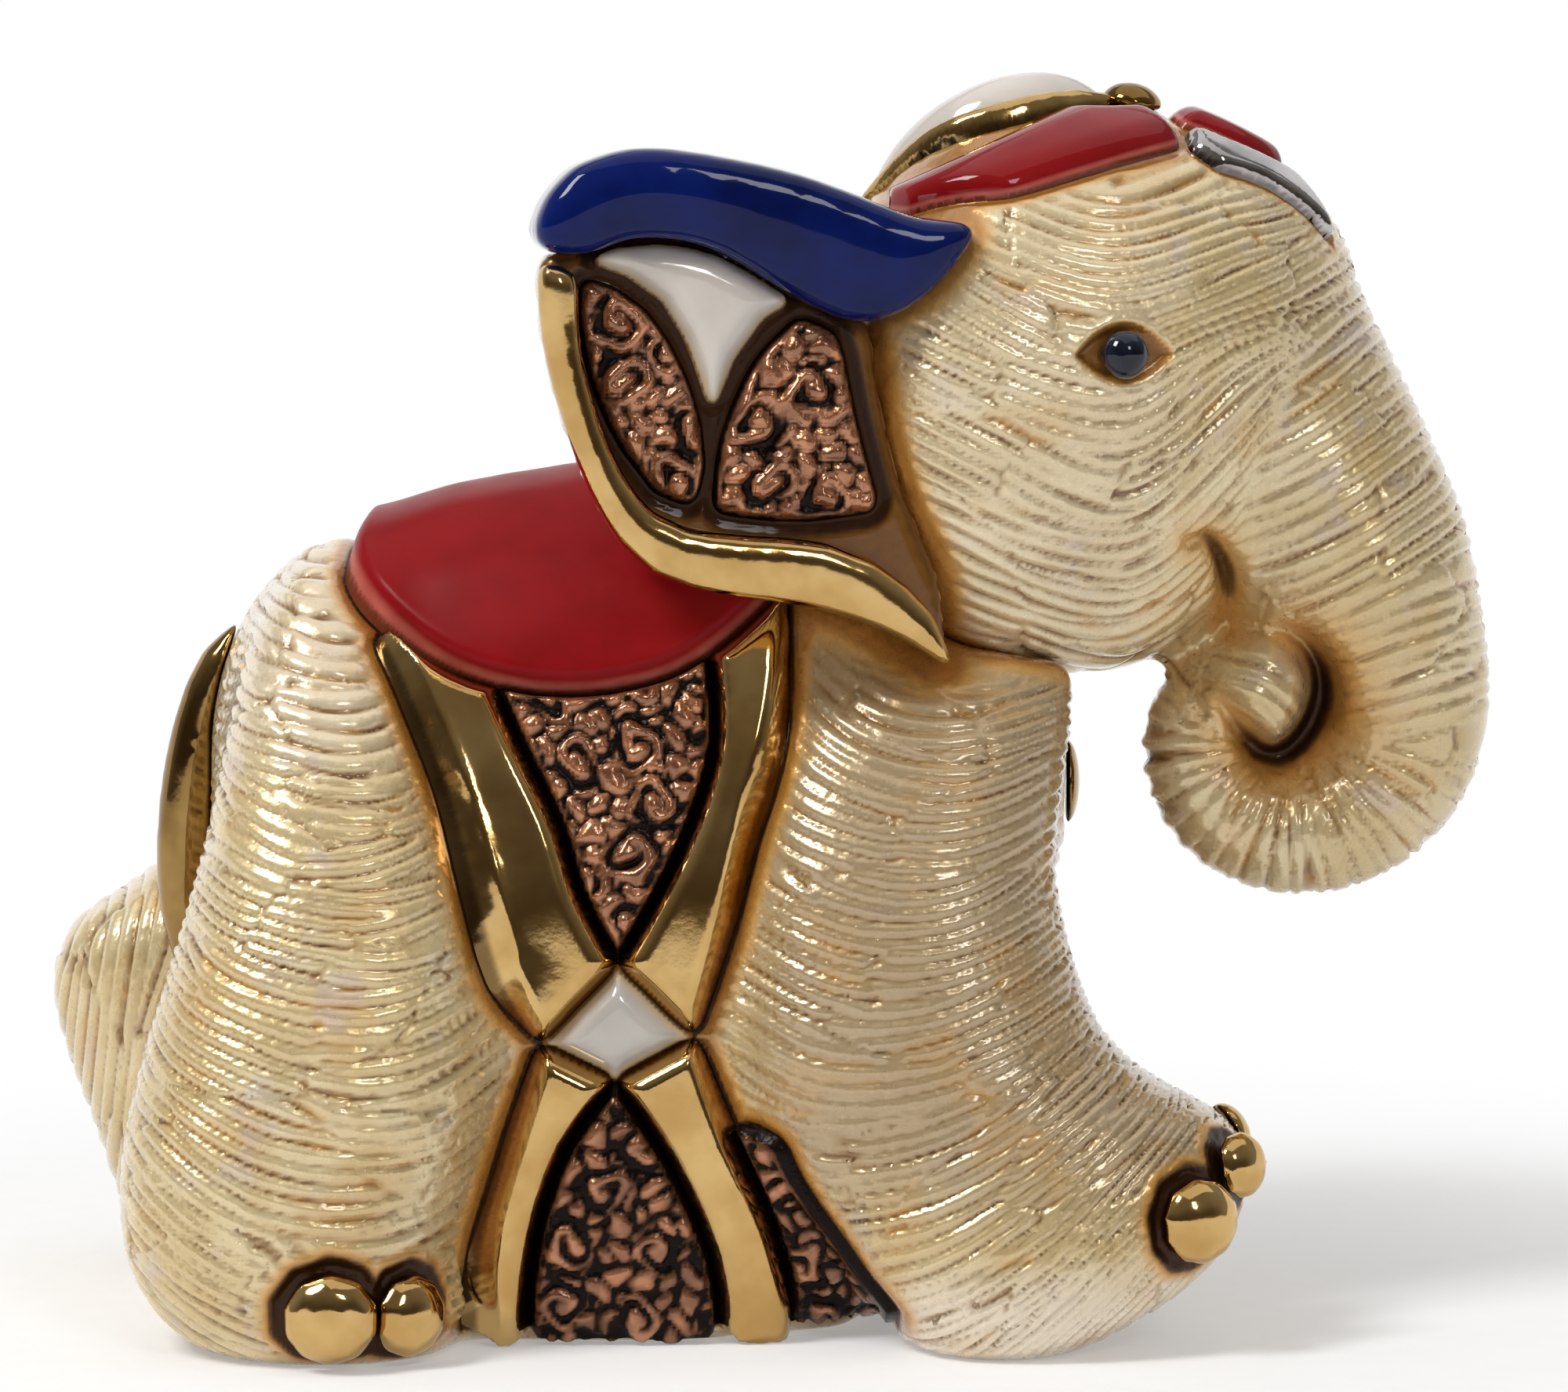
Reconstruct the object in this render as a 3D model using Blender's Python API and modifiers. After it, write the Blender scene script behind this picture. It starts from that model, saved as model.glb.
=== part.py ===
"""Sitting baby elephant figurine in a caparison, glazed ceramic, modelled as its separate pieces.

The elephant faces +X and sits on Z = 0. Its right side, which faces -Y, carries the same trappings as
its left side. Sizes are in millimetres times MM, so the model comes out in metres. Castings are lofts
through hand-set stations. Enamelled and gilt fields are slices of a shell laid over their casting.
"""
import math

import bmesh
import bpy
from mathutils import Vector

MM = 0.001
FIGURE = "sitting_elephant_figurine"

# Fits between pieces, the size below which a cut leaves nothing, and how far a side cut reaches
CLEARANCE = 0.3 * MM
SEAM = 0.3 * MM
CRUMB = 0.01 * MM
FLANK_REACH = 40.0 * MM

# Thickness of each field over its casting
SADDLE_THICKNESS = 2.0 * MM
STRAP_THICKNESS = 2.4 * MM
PANEL_THICKNESS = 1.5 * MM
DIAMOND_THICKNESS = 1.9 * MM
CAP_ENAMEL_THICKNESS = 1.3 * MM
CAP_WHITE_THICKNESS = 2.0 * MM
CAP_RIDGE_THICKNESS = 1.6 * MM
BROW_THICKNESS = 1.1 * MM

# Ears: a slab that hangs from the head, with its fields on the outer face
EAR_HINGE = (8.0, 17.2, 62.0)
EAR_SPLAY = 7.0
EAR_THICKNESS = 5.0 * MM
EAR_EDGE_ROUND = 1.6 * MM
EAR_FIELD_DEPTH = 1.4 * MM
EAR_WHITE_DEPTH = 1.9 * MM
EAR_RIM_DEPTH = 2.6 * MM
EAR_RIM_ROUND = 1.2 * MM
EAR_ROLL_DEPTH = 7.6 * MM
EAR_ROLL_ROUND = 2.4 * MM
EAR_FIELD_ROUND = 0.4 * MM

# Beads and small turned shapes
EYE_RADIUS = 1.9 * MM
HIND_NAIL_RADII = (3.4 * MM, 3.0 * MM)
FORE_NAIL_RADII = (3.1 * MM, 2.4 * MM, 2.2 * MM)
NAIL_FLATNESS = 0.66
KNOB_RADIUS, KNOB_FLATNESS = 2.3 * MM, 0.7
PENDANT_RADIUS, PENDANT_FLATNESS = 3.2 * MM, 0.45

# Mesh fineness
TORSO_SIDES, TORSO_RINGS = 24, 18
LEG_SIDES, LEG_RINGS = 18, 17
HEAD_SIDES, HEAD_RINGS = 26, 17
TRUNK_SIDES, TRUNK_RINGS = 14, 30
TAIL_SIDES, TAIL_RINGS = 8, 12
OUTLINE_STEPS = 3
LENS_STEPS = 8
OUTLINE_SPACING = 1.6
BEAD_SEGMENTS, BEAD_RINGS = 10, 7

# Torso stations: x, top, height of greatest width, low point, half width. A low point under the floor
# gives the flat base on which the figure sits.
TORSO = (
    (-41.2, 43.0, 34.0, 25.0, 4.0),
    (-40.0, 48.0, 31.0, 13.0, 10.5),
    (-37.5, 52.6, 27.0, -4.0, 15.0),
    (-33.5, 56.0, 25.0, -16.0, 17.4),
    (-30.0, 56.0, 23.0, -20.0, 17.8),
    (-23.0, 58.2, 22.0, -24.0, 18.2),
    (-14.0, 59.6, 22.0, -26.0, 18.6),
    (-5.0, 60.8, 22.0, -24.0, 18.2),
    (2.0, 61.0, 24.0, -16.0, 17.0),
    (8.0, 60.0, 28.0, -2.0, 15.4),
    (13.5, 57.0, 34.0, 14.0, 13.0),
    (18.0, 51.0, 38.5, 26.0, 9.0),
    (20.3, 45.5, 40.0, 34.0, 4.0),
)

# The torso is slip-cast hollow: an oval cavity, open through a vent hole in the base
CAVITY_CENTRE = (-13.0, 0.0, 27.0)
CAVITY_RADII = (19.0, 11.5, 20.0)
VENT_RADIUS = 4.5 * MM
VENT_SEGMENTS, CAVITY_RINGS = 16, 10

# Leg stations: z, rear, front, inner side, outer side. Distances to the side count outwards.
HIND_LEG_RIGHT = (
    (0.0, -41.0, -22.0, 3.0, 25.2),
    (1.5, -43.4, -21.8, 3.0, 26.8),
    (5.0, -45.9, -22.4, 3.0, 27.8),
    (10.0, -46.8, -22.6, 3.0, 28.2),
    (17.0, -46.0, -20.0, 3.0, 28.0),
    (25.0, -43.7, -19.4, 3.0, 27.0),
    (33.0, -41.3, -21.2, 3.0, 25.0),
    (41.0, -39.6, -24.0, 3.0, 21.6),
    (47.0, -38.6, -26.6, 3.0, 17.4),
    (51.6, -36.8, -29.4, 3.0, 13.0),
    (54.6, -35.0, -31.6, 3.0, 8.0),
)
HIND_LEG_LEFT = (
    (0.0, -45.5, -22.0, 3.0, 25.2),
    (1.5, -48.0, -21.8, 3.0, 26.8),
    (5.0, -50.0, -22.4, 3.0, 27.8),
    (10.0, -51.6, -22.6, 3.0, 28.2),
    (17.0, -54.2, -20.0, 3.0, 28.0),
    (22.5, -55.2, -19.4, 3.0, 27.4),
    (26.5, -53.2, -19.6, 3.0, 26.6),
    (30.0, -47.6, -20.4, 3.0, 25.6),
    (35.0, -41.9, -22.0, 3.0, 24.2),
    (41.0, -39.6, -24.0, 3.0, 21.6),
    (47.0, -38.6, -26.6, 3.0, 17.4),
    (51.6, -36.8, -29.4, 3.0, 13.0),
    (54.6, -35.0, -31.6, 3.0, 8.0),
)
FORELEG_RIGHT = (
    (0.0, 9.0, 21.0, 4.0, 23.6),
    (1.5, 7.0, 24.2, 4.0, 25.2),
    (5.0, 4.6, 29.8, 4.0, 25.8),
    (9.0, 1.2, 32.4, 4.0, 25.4),
    (13.0, -1.8, 33.0, 4.0, 24.6),
    (16.0, -3.4, 31.2, 4.0, 24.2),
    (18.0, -3.9, 27.0, 4.0, 24.0),
    (21.0, -4.1, 22.9, 4.0, 24.0),
    (27.0, -3.8, 20.3, 4.0, 23.4),
    (34.0, -2.9, 19.0, 4.0, 22.4),
    (41.0, -2.0, 20.0, 4.0, 20.2),
    (45.5, -1.2, 20.8, 4.0, 17.0),
    (49.0, 0.4, 20.6, 4.0, 12.4),
    (52.0, 2.4, 19.4, 4.0, 8.2),
)
# The left foreleg stands straight under the shoulder, its foot turned out to the side.
FORELEG_LEFT = (
    (0.0, 4.6, 17.4, 4.0, 25.2),
    (1.5, 3.0, 19.0, 4.0, 27.0),
    (5.0, 1.8, 19.8, 4.0, 28.0),
    (9.0, 0.0, 20.0, 4.0, 28.0),
    (13.0, -1.8, 19.8, 4.0, 27.2),
    (18.0, -3.7, 19.6, 4.0, 25.6),
    (27.0, -3.8, 19.6, 4.0, 23.6),
    (34.0, -2.9, 19.0, 4.0, 22.4),
    (41.0, -2.0, 20.0, 4.0, 20.2),
    (45.5, -1.2, 20.8, 4.0, 17.0),
    (49.0, 0.4, 20.6, 4.0, 12.4),
    (52.0, 2.4, 19.4, 4.0, 8.2),
)

# Head stations: z, back, x of greatest width, front, half width
HEAD = (
    (46.6, 13.0, 17.0, 24.5, 7.0),
    (48.2, 10.0, 16.0, 28.5, 11.0),
    (51.5, 7.0, 15.0, 32.0, 14.4),
    (56.5, 4.6, 14.0, 35.0, 17.2),
    (63.0, 3.0, 13.0, 38.6, 19.0),
    (70.0, 2.6, 13.0, 41.2, 19.4),
    (75.5, 3.4, 14.0, 41.2, 18.2),
    (79.6, 5.6, 15.5, 38.9, 15.6),
    (83.0, 8.8, 17.5, 34.6, 11.6),
    (85.5, 12.4, 19.5, 29.8, 7.2),
    (86.9, 17.0, 20.5, 25.0, 3.0),
)

# Trunk: stations down the face as x, z, radius, then a curl that tightens towards the tip
TRUNK_ROOT = ((31.8, 70.0, 10.6), (35.6, 63.4, 10.0), (39.0, 57.2, 9.5), (41.8, 51.2, 8.9))
CURL_CENTRE = (35.9, 43.0)
CURL_START, CURL_END = 9.5, 3.2
CURL_TURN = 238.0
CURL_TIGHTENING = 2.4
CURL_STATIONS = 7
CURL_RADII = (5.9, 5.0, 4.3, 3.9, 3.6, 3.4, 3.0)
TIP_LEAN = 1.6
# The tip swells into a ball inside the curl, and a thin web closes the curl behind it.
TIP_AT, TIP_RADIUS = (33.9, -1.6, 43.9), 4.5
WEB_AT, WEB_RADII = (35.0, -0.6, 44.4), (7.6, 2.0, 8.2)
TIP_RINGS = 9

# Tail: stations as x, z, radius
TAIL = ((-38.0, 49.6, 1.0), (-40.8, 46.4, 1.7), (-42.6, 41.0, 1.9), (-43.4, 35.0, 2.0),
        (-43.4, 29.0, 1.9), (-42.6, 24.0, 1.2))

# Edges of the trappings in side view, as x, z. Each edge is a smooth curve through its points.
SADDLE_REAR = (-31.6, 54.6)
SADDLE_FRONT = (1.0, 54.0)
SADDLE_LOWER_EDGE = (SADDLE_REAR, (-29.2, 51.2), (-24.2, 47.7), (-19.2, 46.1), (-14.2, 45.7),
                     (-8.4, 46.8), (-4.2, 49.2), SADDLE_FRONT)
SADDLE_REAR_EDGE = ((-27.0, 61.0), (-29.6, 58.0), SADDLE_REAR)
SADDLE_CLEAR_TOP = 75.0


def on_edge(edge, x):
    """The place at x on an edge whose points run forwards."""
    for (rear_x, rear_z), (front_x, front_z) in zip(edge, edge[1:]):
        if x <= front_x:
            break
    return x, rear_z + (front_z - rear_z) * (x - rear_x) / (front_x - rear_x)


# The straps and panels start at the saddle's lower edge, at these places along X
REAR_STRAP_TOP_X, REAR_PANEL_TOP_X = -29.2, -20.4
FRONT_PANEL_TOP_X, FRONT_STRAP_TOP_X = -5.2, 0.2
REAR_STRAP_TOP = on_edge(SADDLE_LOWER_EDGE, REAR_STRAP_TOP_X)
REAR_PANEL_TOP = on_edge(SADDLE_LOWER_EDGE, REAR_PANEL_TOP_X)
FRONT_PANEL_TOP = on_edge(SADDLE_LOWER_EDGE, FRONT_PANEL_TOP_X)
FRONT_STRAP_TOP = on_edge(SADDLE_LOWER_EDGE, FRONT_STRAP_TOP_X)
DIAMOND_LEFT, DIAMOND_RIGHT = (-17.0, 21.6), (-6.2, 22.0)
DIAMOND_TOP, DIAMOND_BOTTOM = (-11.6, 27.2), (-11.8, 19.0)
REAR_STRAP_OUTER = (REAR_STRAP_TOP, (-26.4, 45.8), (-23.6, 39.2), (-21.6, 32.0), (-19.8, 25.8),
                    DIAMOND_LEFT)
REAR_STRAP_INNER = (REAR_PANEL_TOP, (-18.4, 42.2), (-15.8, 37.0), (-14.2, 32.0), DIAMOND_TOP)
FRONT_STRAP_INNER = (FRONT_PANEL_TOP, (-4.8, 42.6), (-6.4, 37.0), (-8.8, 32.0), DIAMOND_TOP)
FRONT_STRAP_OUTER = (FRONT_STRAP_TOP, (0.2, 47.0), (-0.6, 41.4), (-2.4, 35.6), (-4.0, 29.0),
                     DIAMOND_RIGHT)
REAR_FOOT_OUTER, REAR_FOOT_INNER = (-22.0, 0.0), (-18.4, 0.0)
FRONT_FOOT_INNER, FRONT_FOOT_OUTER = (-4.2, 0.0), (1.0, 0.0)
REAR_LOWER_OUTER = (DIAMOND_LEFT, (-19.4, 14.0), (-21.4, 7.0), REAR_FOOT_OUTER)
REAR_LOWER_INNER = (DIAMOND_BOTTOM, (-15.2, 14.4), (-17.4, 8.0), REAR_FOOT_INNER)
FRONT_LOWER_INNER = (DIAMOND_BOTTOM, (-8.2, 13.6), (-5.2, 6.8), FRONT_FOOT_INNER)
FRONT_LOWER_OUTER = (DIAMOND_RIGHT, (-3.6, 15.2), (-0.8, 8.6), FRONT_FOOT_OUTER)
SKIRT_ARCH = (REAR_FOOT_INNER, (-11.4, 1.8), FRONT_FOOT_INNER)
FRONT_SLIVER_FOOT = (7.0, 0.0)
FRONT_SLIVER_EDGE = ((-3.6, 15.2), (2.4, 12.0), (6.4, 6.0), FRONT_SLIVER_FOOT)

# Ear fields in the ear's own side view, as x, z
EAR_REAR_TOP = (-17.2, 76.2)
EAR_FRONT_TOP = (6.0, 73.0)
EAR_LOBE = (11.6, 47.8)
EAR_SLAB_TOP = (EAR_REAR_TOP, (-10.5, 79.6), (-4.0, 78.4), EAR_FRONT_TOP)
EAR_FRONT_EDGE = (EAR_FRONT_TOP, (7.0, 66.0), (8.6, 60.0), (11.0, 54.0), EAR_LOBE)
EAR_LOWER_EDGE = (EAR_LOBE, (7.0, 50.6), (1.5, 52.4), (-5.0, 53.4), (-9.4, 54.8), (-12.6, 58.4),
                  (-15.4, 65.0), (-16.9, 71.0), EAR_REAR_TOP)
RIM_INNER_REAR = (-14.6, 75.4)
RIM_INNER_LOBE = (10.0, 51.6)
RIM_INNER_EDGE = (RIM_INNER_REAR, (-14.4, 70.0), (-12.4, 63.2), (-9.4, 58.8), (-5.4, 57.4),
                  (2.6, 56.6), (7.0, 54.6), RIM_INNER_LOBE)
ROLL_HEEL, ROLL_TIP = (-17.4, 77.0), (13.4, 78.6)
ROLL_UPPER_EDGE = (ROLL_HEEL, (-17.0, 79.6), (-14.6, 82.5), (-10.0, 83.7), (-4.2, 83.0),
                   (1.0, 81.8), (5.2, 80.3), (8.8, 78.9), ROLL_TIP)
ROLL_LOWER_EDGE = (ROLL_TIP, (11.4, 75.8), (9.2, 73.6), (6.8, 72.4), (4.4, 72.2), (0.2, 74.2),
                   (-5.4, 77.4), (-11.0, 78.0), (-15.0, 76.4), ROLL_HEEL)
WHITE_TIP, WHITE_REAR, WHITE_FRONT = (-5.2, 65.8), (-13.8, 76.2), (0.3, 73.4)
WHITE_TOP_EDGE = (WHITE_REAR, (-10.6, 77.3), (-5.2, 76.6), WHITE_FRONT)
WHITE_FRONT_EDGE = (WHITE_FRONT, (-2.8, 71.2), WHITE_TIP)
WHITE_REAR_EDGE = (WHITE_TIP, (-7.1, 71.0), (-9.6, 74.4), WHITE_REAR)
LENS_TOP, LENS_FOOT = (-14.2, 74.8), (-6.6, 59.4)
REAR_LENS_FRONT = (LENS_TOP, (-10.9, 73.4), (-8.4, 70.4), (-6.6, 66.2), (-6.0, 62.0), LENS_FOOT)
REAR_LENS_BACK = (LENS_FOOT, (-9.0, 60.4), (-12.0, 64.8), (-13.8, 70.0), LENS_TOP)
FRONT_FIELD_REAR = ((-4.9, 59.0), (-4.2, 64.0), (-2.0, 69.0), (0.9, 72.0))
FRONT_FIELD_FRONT = ((0.9, 72.0), (3.2, 71.0), (4.6, 65.0), (6.2, 59.0))
FRONT_FIELD_FOOT = ((6.2, 59.0), (0.6, 58.4), (-4.9, 59.0))

# Head cap in top view, as x and distance from the midline
WHITE_CAP_BACK, WHITE_CAP_FRONT, WHITE_CAP_HALF_WIDTH = 5.6, 23.8, 3.9
RIDGE_BACK, RIDGE_FRONT, RIDGE_HALF_WIDTH = 4.6, 25.4, 6.3
RED_CAP_INNER = ((6.6, 3.4), (10.4, 5.6), (15.4, 6.6), (20.6, 5.8), (25.4, 3.4))
RED_CAP_OUTER = ((25.4, 3.4), (28.2, 6.4), (27.4, 9.2), (22.0, 12.2), (15.6, 12.8), (10.0, 10.6),
                 (6.8, 7.2), (6.6, 3.4))
FOREHEAD_BACK_EDGE = ((28.2, -4.0), (27.4, 0.0), (28.2, 4.0))
FOREHEAD_FRONT_EDGE = ((28.2, 4.0), (33.0, 3.6), (36.6, 0.0), (33.0, -3.6), (28.2, -4.0))
BROW_INNER = ((28.6, 4.6), (32.6, 4.4), (36.2, 2.6), (39.4, 6.0))
BROW_OUTER = ((39.4, 6.0), (34.4, 7.0), (29.4, 8.6), (28.6, 4.6))
CAP_CUT_HEIGHT = 70.0
CAP_CLEAR_TOP = 100.0

# Guide points for beads, which seat on the nearest skin: x, distance to the side, z
EYE_AT = (23.9, 19.0, 69.6)
HIND_NAILS_AT = ((-31.0, 29.0, 3.5), (-24.0, 27.2, 3.6))
RIGHT_FORE_NAILS_AT = ((28.8, 22.4, 9.7), (31.7, 18.6, 13.0), (33.4, 10.0, 15.2))
LEFT_FORE_NAILS_AT = ((20.6, 20.0, 3.4), (17.4, 26.4, 3.4), (10.0, 30.0, 3.4))
KNOB_AT = (25.6, 0.0, 90.0)
PENDANT_AT = (24.0, 0.0, 38.2)

RIGHT, LEFT = -1, 1
SIDE_NAMES = ((RIGHT, "right"), (LEFT, "left"))

# Glaze colours: base colour, roughness, metallic
PEARL = ((0.78, 0.66, 0.44), 0.35, 0.1)
GOLD = ((0.83, 0.60, 0.22), 0.08, 1.0)
DARK_GOLD = ((0.42, 0.30, 0.12), 0.12, 1.0)
PLATINUM = ((0.55, 0.53, 0.50), 0.06, 1.0)
RED = ((0.42, 0.02, 0.02), 0.12, 0.0)
BLUE = ((0.01, 0.04, 0.25), 0.10, 0.0)
WHITE = ((0.86, 0.82, 0.76), 0.12, 0.0)
COPPER = ((0.30, 0.12, 0.05), 0.35, 0.4)
EYE_GLAZE = ((0.01, 0.02, 0.05), 0.05, 0.0)


def fresh_collection(name):
    collection = bpy.data.collections.new(name)
    bpy.context.scene.collection.children.link(collection)
    return collection


for leftover in list(bpy.data.objects):
    bpy.data.objects.remove(leftover, do_unlink=True)

PARTS = fresh_collection(FIGURE)
CUTTERS = fresh_collection("cutters")
WHOLE = {}
STAND = bpy.data.objects.new("stand_point", None)
PARTS.objects.link(STAND)


def through(points, count):
    """Evenly counted points on a smooth curve through the given ones, whatever their number of values."""
    spans = len(points) - 1
    curve = []
    for step in range(count):
        at = spans * step / (count - 1)
        first = min(int(at), spans - 1)
        t = at - first
        a, b, c, d = (points[max(0, min(spans, first + k))] for k in (-1, 0, 1, 2))
        curve.append(tuple(
            0.5 * (2 * q + (r - p) * t + (2 * p - 5 * q + 4 * r - s) * t * t
                   + (3 * q - p - 3 * r + s) * t ** 3)
            for p, q, r, s in zip(a, b, c, d)
        ))
    return curve


def outline(*edges):
    """Closed outline from edges that each start where the last one ended, its points well apart."""
    points = []
    for edge in edges:
        curve = through(edge, OUTLINE_STEPS * (len(edge) - 1) + 1) if len(edge) > 2 else edge
        end = Vector(curve[-1])
        kept = [curve[0]]
        for point in curve[1:-1]:
            spot = Vector(point)
            if min((spot - Vector(kept[-1])).length, (spot - end).length) > OUTLINE_SPACING:
                kept.append(point)
        points += kept
    return points


def backwards(edge):
    return tuple(reversed(edge))


def inset(points, distance):
    """Outline drawn in by a distance along each corner's mean normal."""
    count = len(points)
    area = sum(points[i][0] * points[(i + 1) % count][1] - points[(i + 1) % count][0] * points[i][1]
               for i in range(count))
    turn = 1.0 if area > 0 else -1.0
    moved = []
    for i, (x, z) in enumerate(points):
        before, after = Vector(points[i - 1]), Vector(points[(i + 1) % count])
        here = Vector((x, z))
        one, two = (here - before).normalized(), (after - here).normalized()
        normal = Vector((-one.y - two.y, one.x + two.x)).normalized() * turn
        square = Vector((-one.y, one.x)) * turn
        reach = distance / max(normal.dot(square), 0.4)
        moved.append((x + normal.x * reach, z + normal.y * reach))
    return moved


def material(name, glaze):
    colour, roughness, metallic = glaze
    finish = bpy.data.materials.new(name)
    finish.use_nodes = True
    shader = finish.node_tree.nodes["Principled BSDF"]
    shader.inputs["Base Color"].default_value = (*colour, 1.0)
    shader.inputs["Roughness"].default_value = roughness
    shader.inputs["Metallic"].default_value = metallic
    return finish


def add_piece(name, form, glaze, parent=None):
    """New sub-part from a bmesh, which is used up."""
    bmesh.ops.recalc_face_normals(form, faces=form.faces)
    mesh = bpy.data.meshes.new(name)
    form.to_mesh(mesh)
    form.free()
    piece = bpy.data.objects.new(name, mesh)
    piece.data.materials.append(material(name, glaze))
    PARTS.objects.link(piece)
    piece.parent = parent or STAND
    return piece


def settle(piece):
    """Turn the piece's modifiers into mesh, and drop the crumbs that a cut leaves beside the body."""
    bpy.context.view_layer.update()
    evaluated = piece.evaluated_get(bpy.context.evaluated_depsgraph_get())
    mesh = bpy.data.meshes.new_from_object(evaluated)
    piece.modifiers.clear()
    form = bmesh.new()
    form.from_mesh(mesh)
    bmesh.ops.remove_doubles(form, verts=form.verts, dist=CRUMB)
    bmesh.ops.dissolve_degenerate(form, edges=form.edges, dist=CRUMB)
    islands = []
    left = set(form.faces)
    while left:
        island, frontier = set(), [next(iter(left))]
        while frontier:
            face = frontier.pop()
            if face not in island:
                island.add(face)
                frontier += [other for edge in face.edges for other in edge.link_faces]
        islands.append(island)
        left -= island
    body = max(islands, key=lambda island: sum(face.calc_area() for face in island))
    bmesh.ops.delete(form, geom=[face for face in form.faces if face not in body], context="FACES")
    form.to_mesh(mesh)
    form.free()
    piece.data = mesh
    return piece


def add_casting(name, form, glaze, whole_form=None):
    """Sub-part whose whole form, from before any cut, shapes what lies round it."""
    piece = add_piece(name, form, glaze)
    WHOLE[name] = piece.data
    if whole_form:
        bmesh.ops.recalc_face_normals(whole_form, faces=whole_form.faces)
        WHOLE[name] = bpy.data.meshes.new(name + "_whole")
        whole_form.to_mesh(WHOLE[name])
        whole_form.free()
    return piece


def grown(piece, distance):
    """Hidden copy of a piece in its whole form, swollen by a distance, to cut room for it."""
    room = bpy.data.objects.new(piece.name + "_room", WHOLE.get(piece.name, piece.data))
    CUTTERS.objects.link(room)
    room.parent = piece.parent
    room.hide_render = True
    room.display_type = "WIRE"
    swell = room.modifiers.new("swell", "DISPLACE")
    swell.strength = distance
    swell.mid_level = 0.0
    return room


def boolean(piece, tool, operation, solver="EXACT"):
    cut_step = piece.modifiers.new(operation.lower(), "BOOLEAN")
    cut_step.operation = operation
    cut_step.solver = solver
    cut_step.object = tool


def make_room(piece, *neighbours, solver="EXACT"):
    """Cut a piece back to the clearance from each neighbour."""
    for neighbour in neighbours:
        boolean(piece, grown(neighbour, CLEARANCE), "DIFFERENCE", solver)
    return settle(piece)


def loft(rings):
    """Closed form through rings of equal count, with flat ends."""
    form = bmesh.new()
    rows = [[form.verts.new(point) for point in ring] for ring in rings]
    for row, following in zip(rows, rows[1:]):
        for i in range(len(row)):
            k = (i + 1) % len(row)
            form.faces.new((row[i], row[k], following[k], following[i]))
    form.faces.new(rows[0])
    form.faces.new(rows[-1])
    bmesh.ops.remove_doubles(form, verts=form.verts, dist=CRUMB)
    return form


def rounded(value, power):
    return math.copysign(abs(value) ** power, value)


def circle_steps(sides):
    for i in range(sides):
        angle = 2 * math.pi * i / sides
        yield math.cos(angle), math.sin(angle)


def torso_rings(flat_base):
    for x, top, widest, low, half in through(TORSO, TORSO_RINGS):
        ring = []
        for up, out in circle_steps(TORSO_SIDES):
            z = widest + (top - widest if up > 0 else widest - low) * rounded(up, 0.95)
            ring.append(Vector((x, half * rounded(out, 0.9), max(z, 0.0) if flat_base else z)) * MM)
        yield ring


def leg_rings(stations, side):
    for z, rear, front, inner, outer in through(stations, LEG_RINGS):
        middle_x, middle_y = (rear + front) / 2, (inner + outer) / 2
        yield [
            Vector((middle_x + (front - rear) / 2 * rounded(ahead, 0.86),
                    side * (middle_y + (outer - inner) / 2 * rounded(out, 0.86)), z)) * MM
            for ahead, out in circle_steps(LEG_SIDES)
        ]


def head_rings():
    for z, back, widest, front, half in through(HEAD, HEAD_RINGS):
        yield [
            Vector((widest + (front - widest if ahead > 0 else widest - back) * ahead, half * out, z)) * MM
            for ahead, out in circle_steps(HEAD_SIDES)
        ]


def tube_rings(stations, sides, count):
    """Rings square to a path in the X-Z plane: stations are x, y, z, radius."""
    path = through(stations, count)
    for i, (x, y, z, radius) in enumerate(path):
        before, after = path[max(i - 1, 0)], path[min(i + 1, count - 1)]
        along = Vector((after[0] - before[0], 0.0, after[2] - before[2])).normalized()
        across = Vector((-along.z, 0.0, along.x))
        yield [
            (Vector((x, y, z)) + radius * (across * c + Vector((0.0, s, 0.0)))) * MM
            for c, s in circle_steps(sides)
        ]


def curl_stations():
    for k in range(CURL_STATIONS):
        t = k / (CURL_STATIONS - 1)
        angle = -math.radians(CURL_TURN) * t
        radius = CURL_START - (CURL_START - CURL_END) * t ** CURL_TIGHTENING
        x = CURL_CENTRE[0] + radius * math.cos(angle)
        z = CURL_CENTRE[1] + radius * math.sin(angle)
        yield x, -TIP_LEAN * t, z, CURL_RADII[k]


def prism(points, axis, low, high, side=1):
    """Solid from an outline: along Y from the side view, or along Z from the top view."""
    form = bmesh.new()
    for depth in (low, high):
        if axis == "Y":
            corners = [Vector((x * MM, side * depth, z * MM)) for x, z in points]
        else:
            corners = [Vector((x * MM, side * y * MM, depth)) for x, y in points]
        form.faces.new([form.verts.new(corner) for corner in corners])
    form.verts.ensure_lookup_table()
    count = len(points)
    for i in range(count):
        k = (i + 1) % count
        form.faces.new([form.verts[j] for j in (i, k, count + k, count + i)])
    return form


def shell_field(name, form, glaze, base, thickness, solver="EXACT"):
    """Slice of the shell that lies over a casting, one clearance off its surface."""
    piece = add_piece(name, form, glaze)
    boolean(piece, grown(base, CLEARANCE + thickness), "INTERSECT", solver)
    boolean(piece, grown(base, CLEARANCE), "DIFFERENCE", solver)
    return settle(piece)


def side_field(name, points, glaze, thickness, side):
    form = prism(inset(points, SEAM / 2 / MM), "Y", 0.0, FLANK_REACH, side)
    return shell_field(name, form, glaze, torso, thickness)


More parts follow.
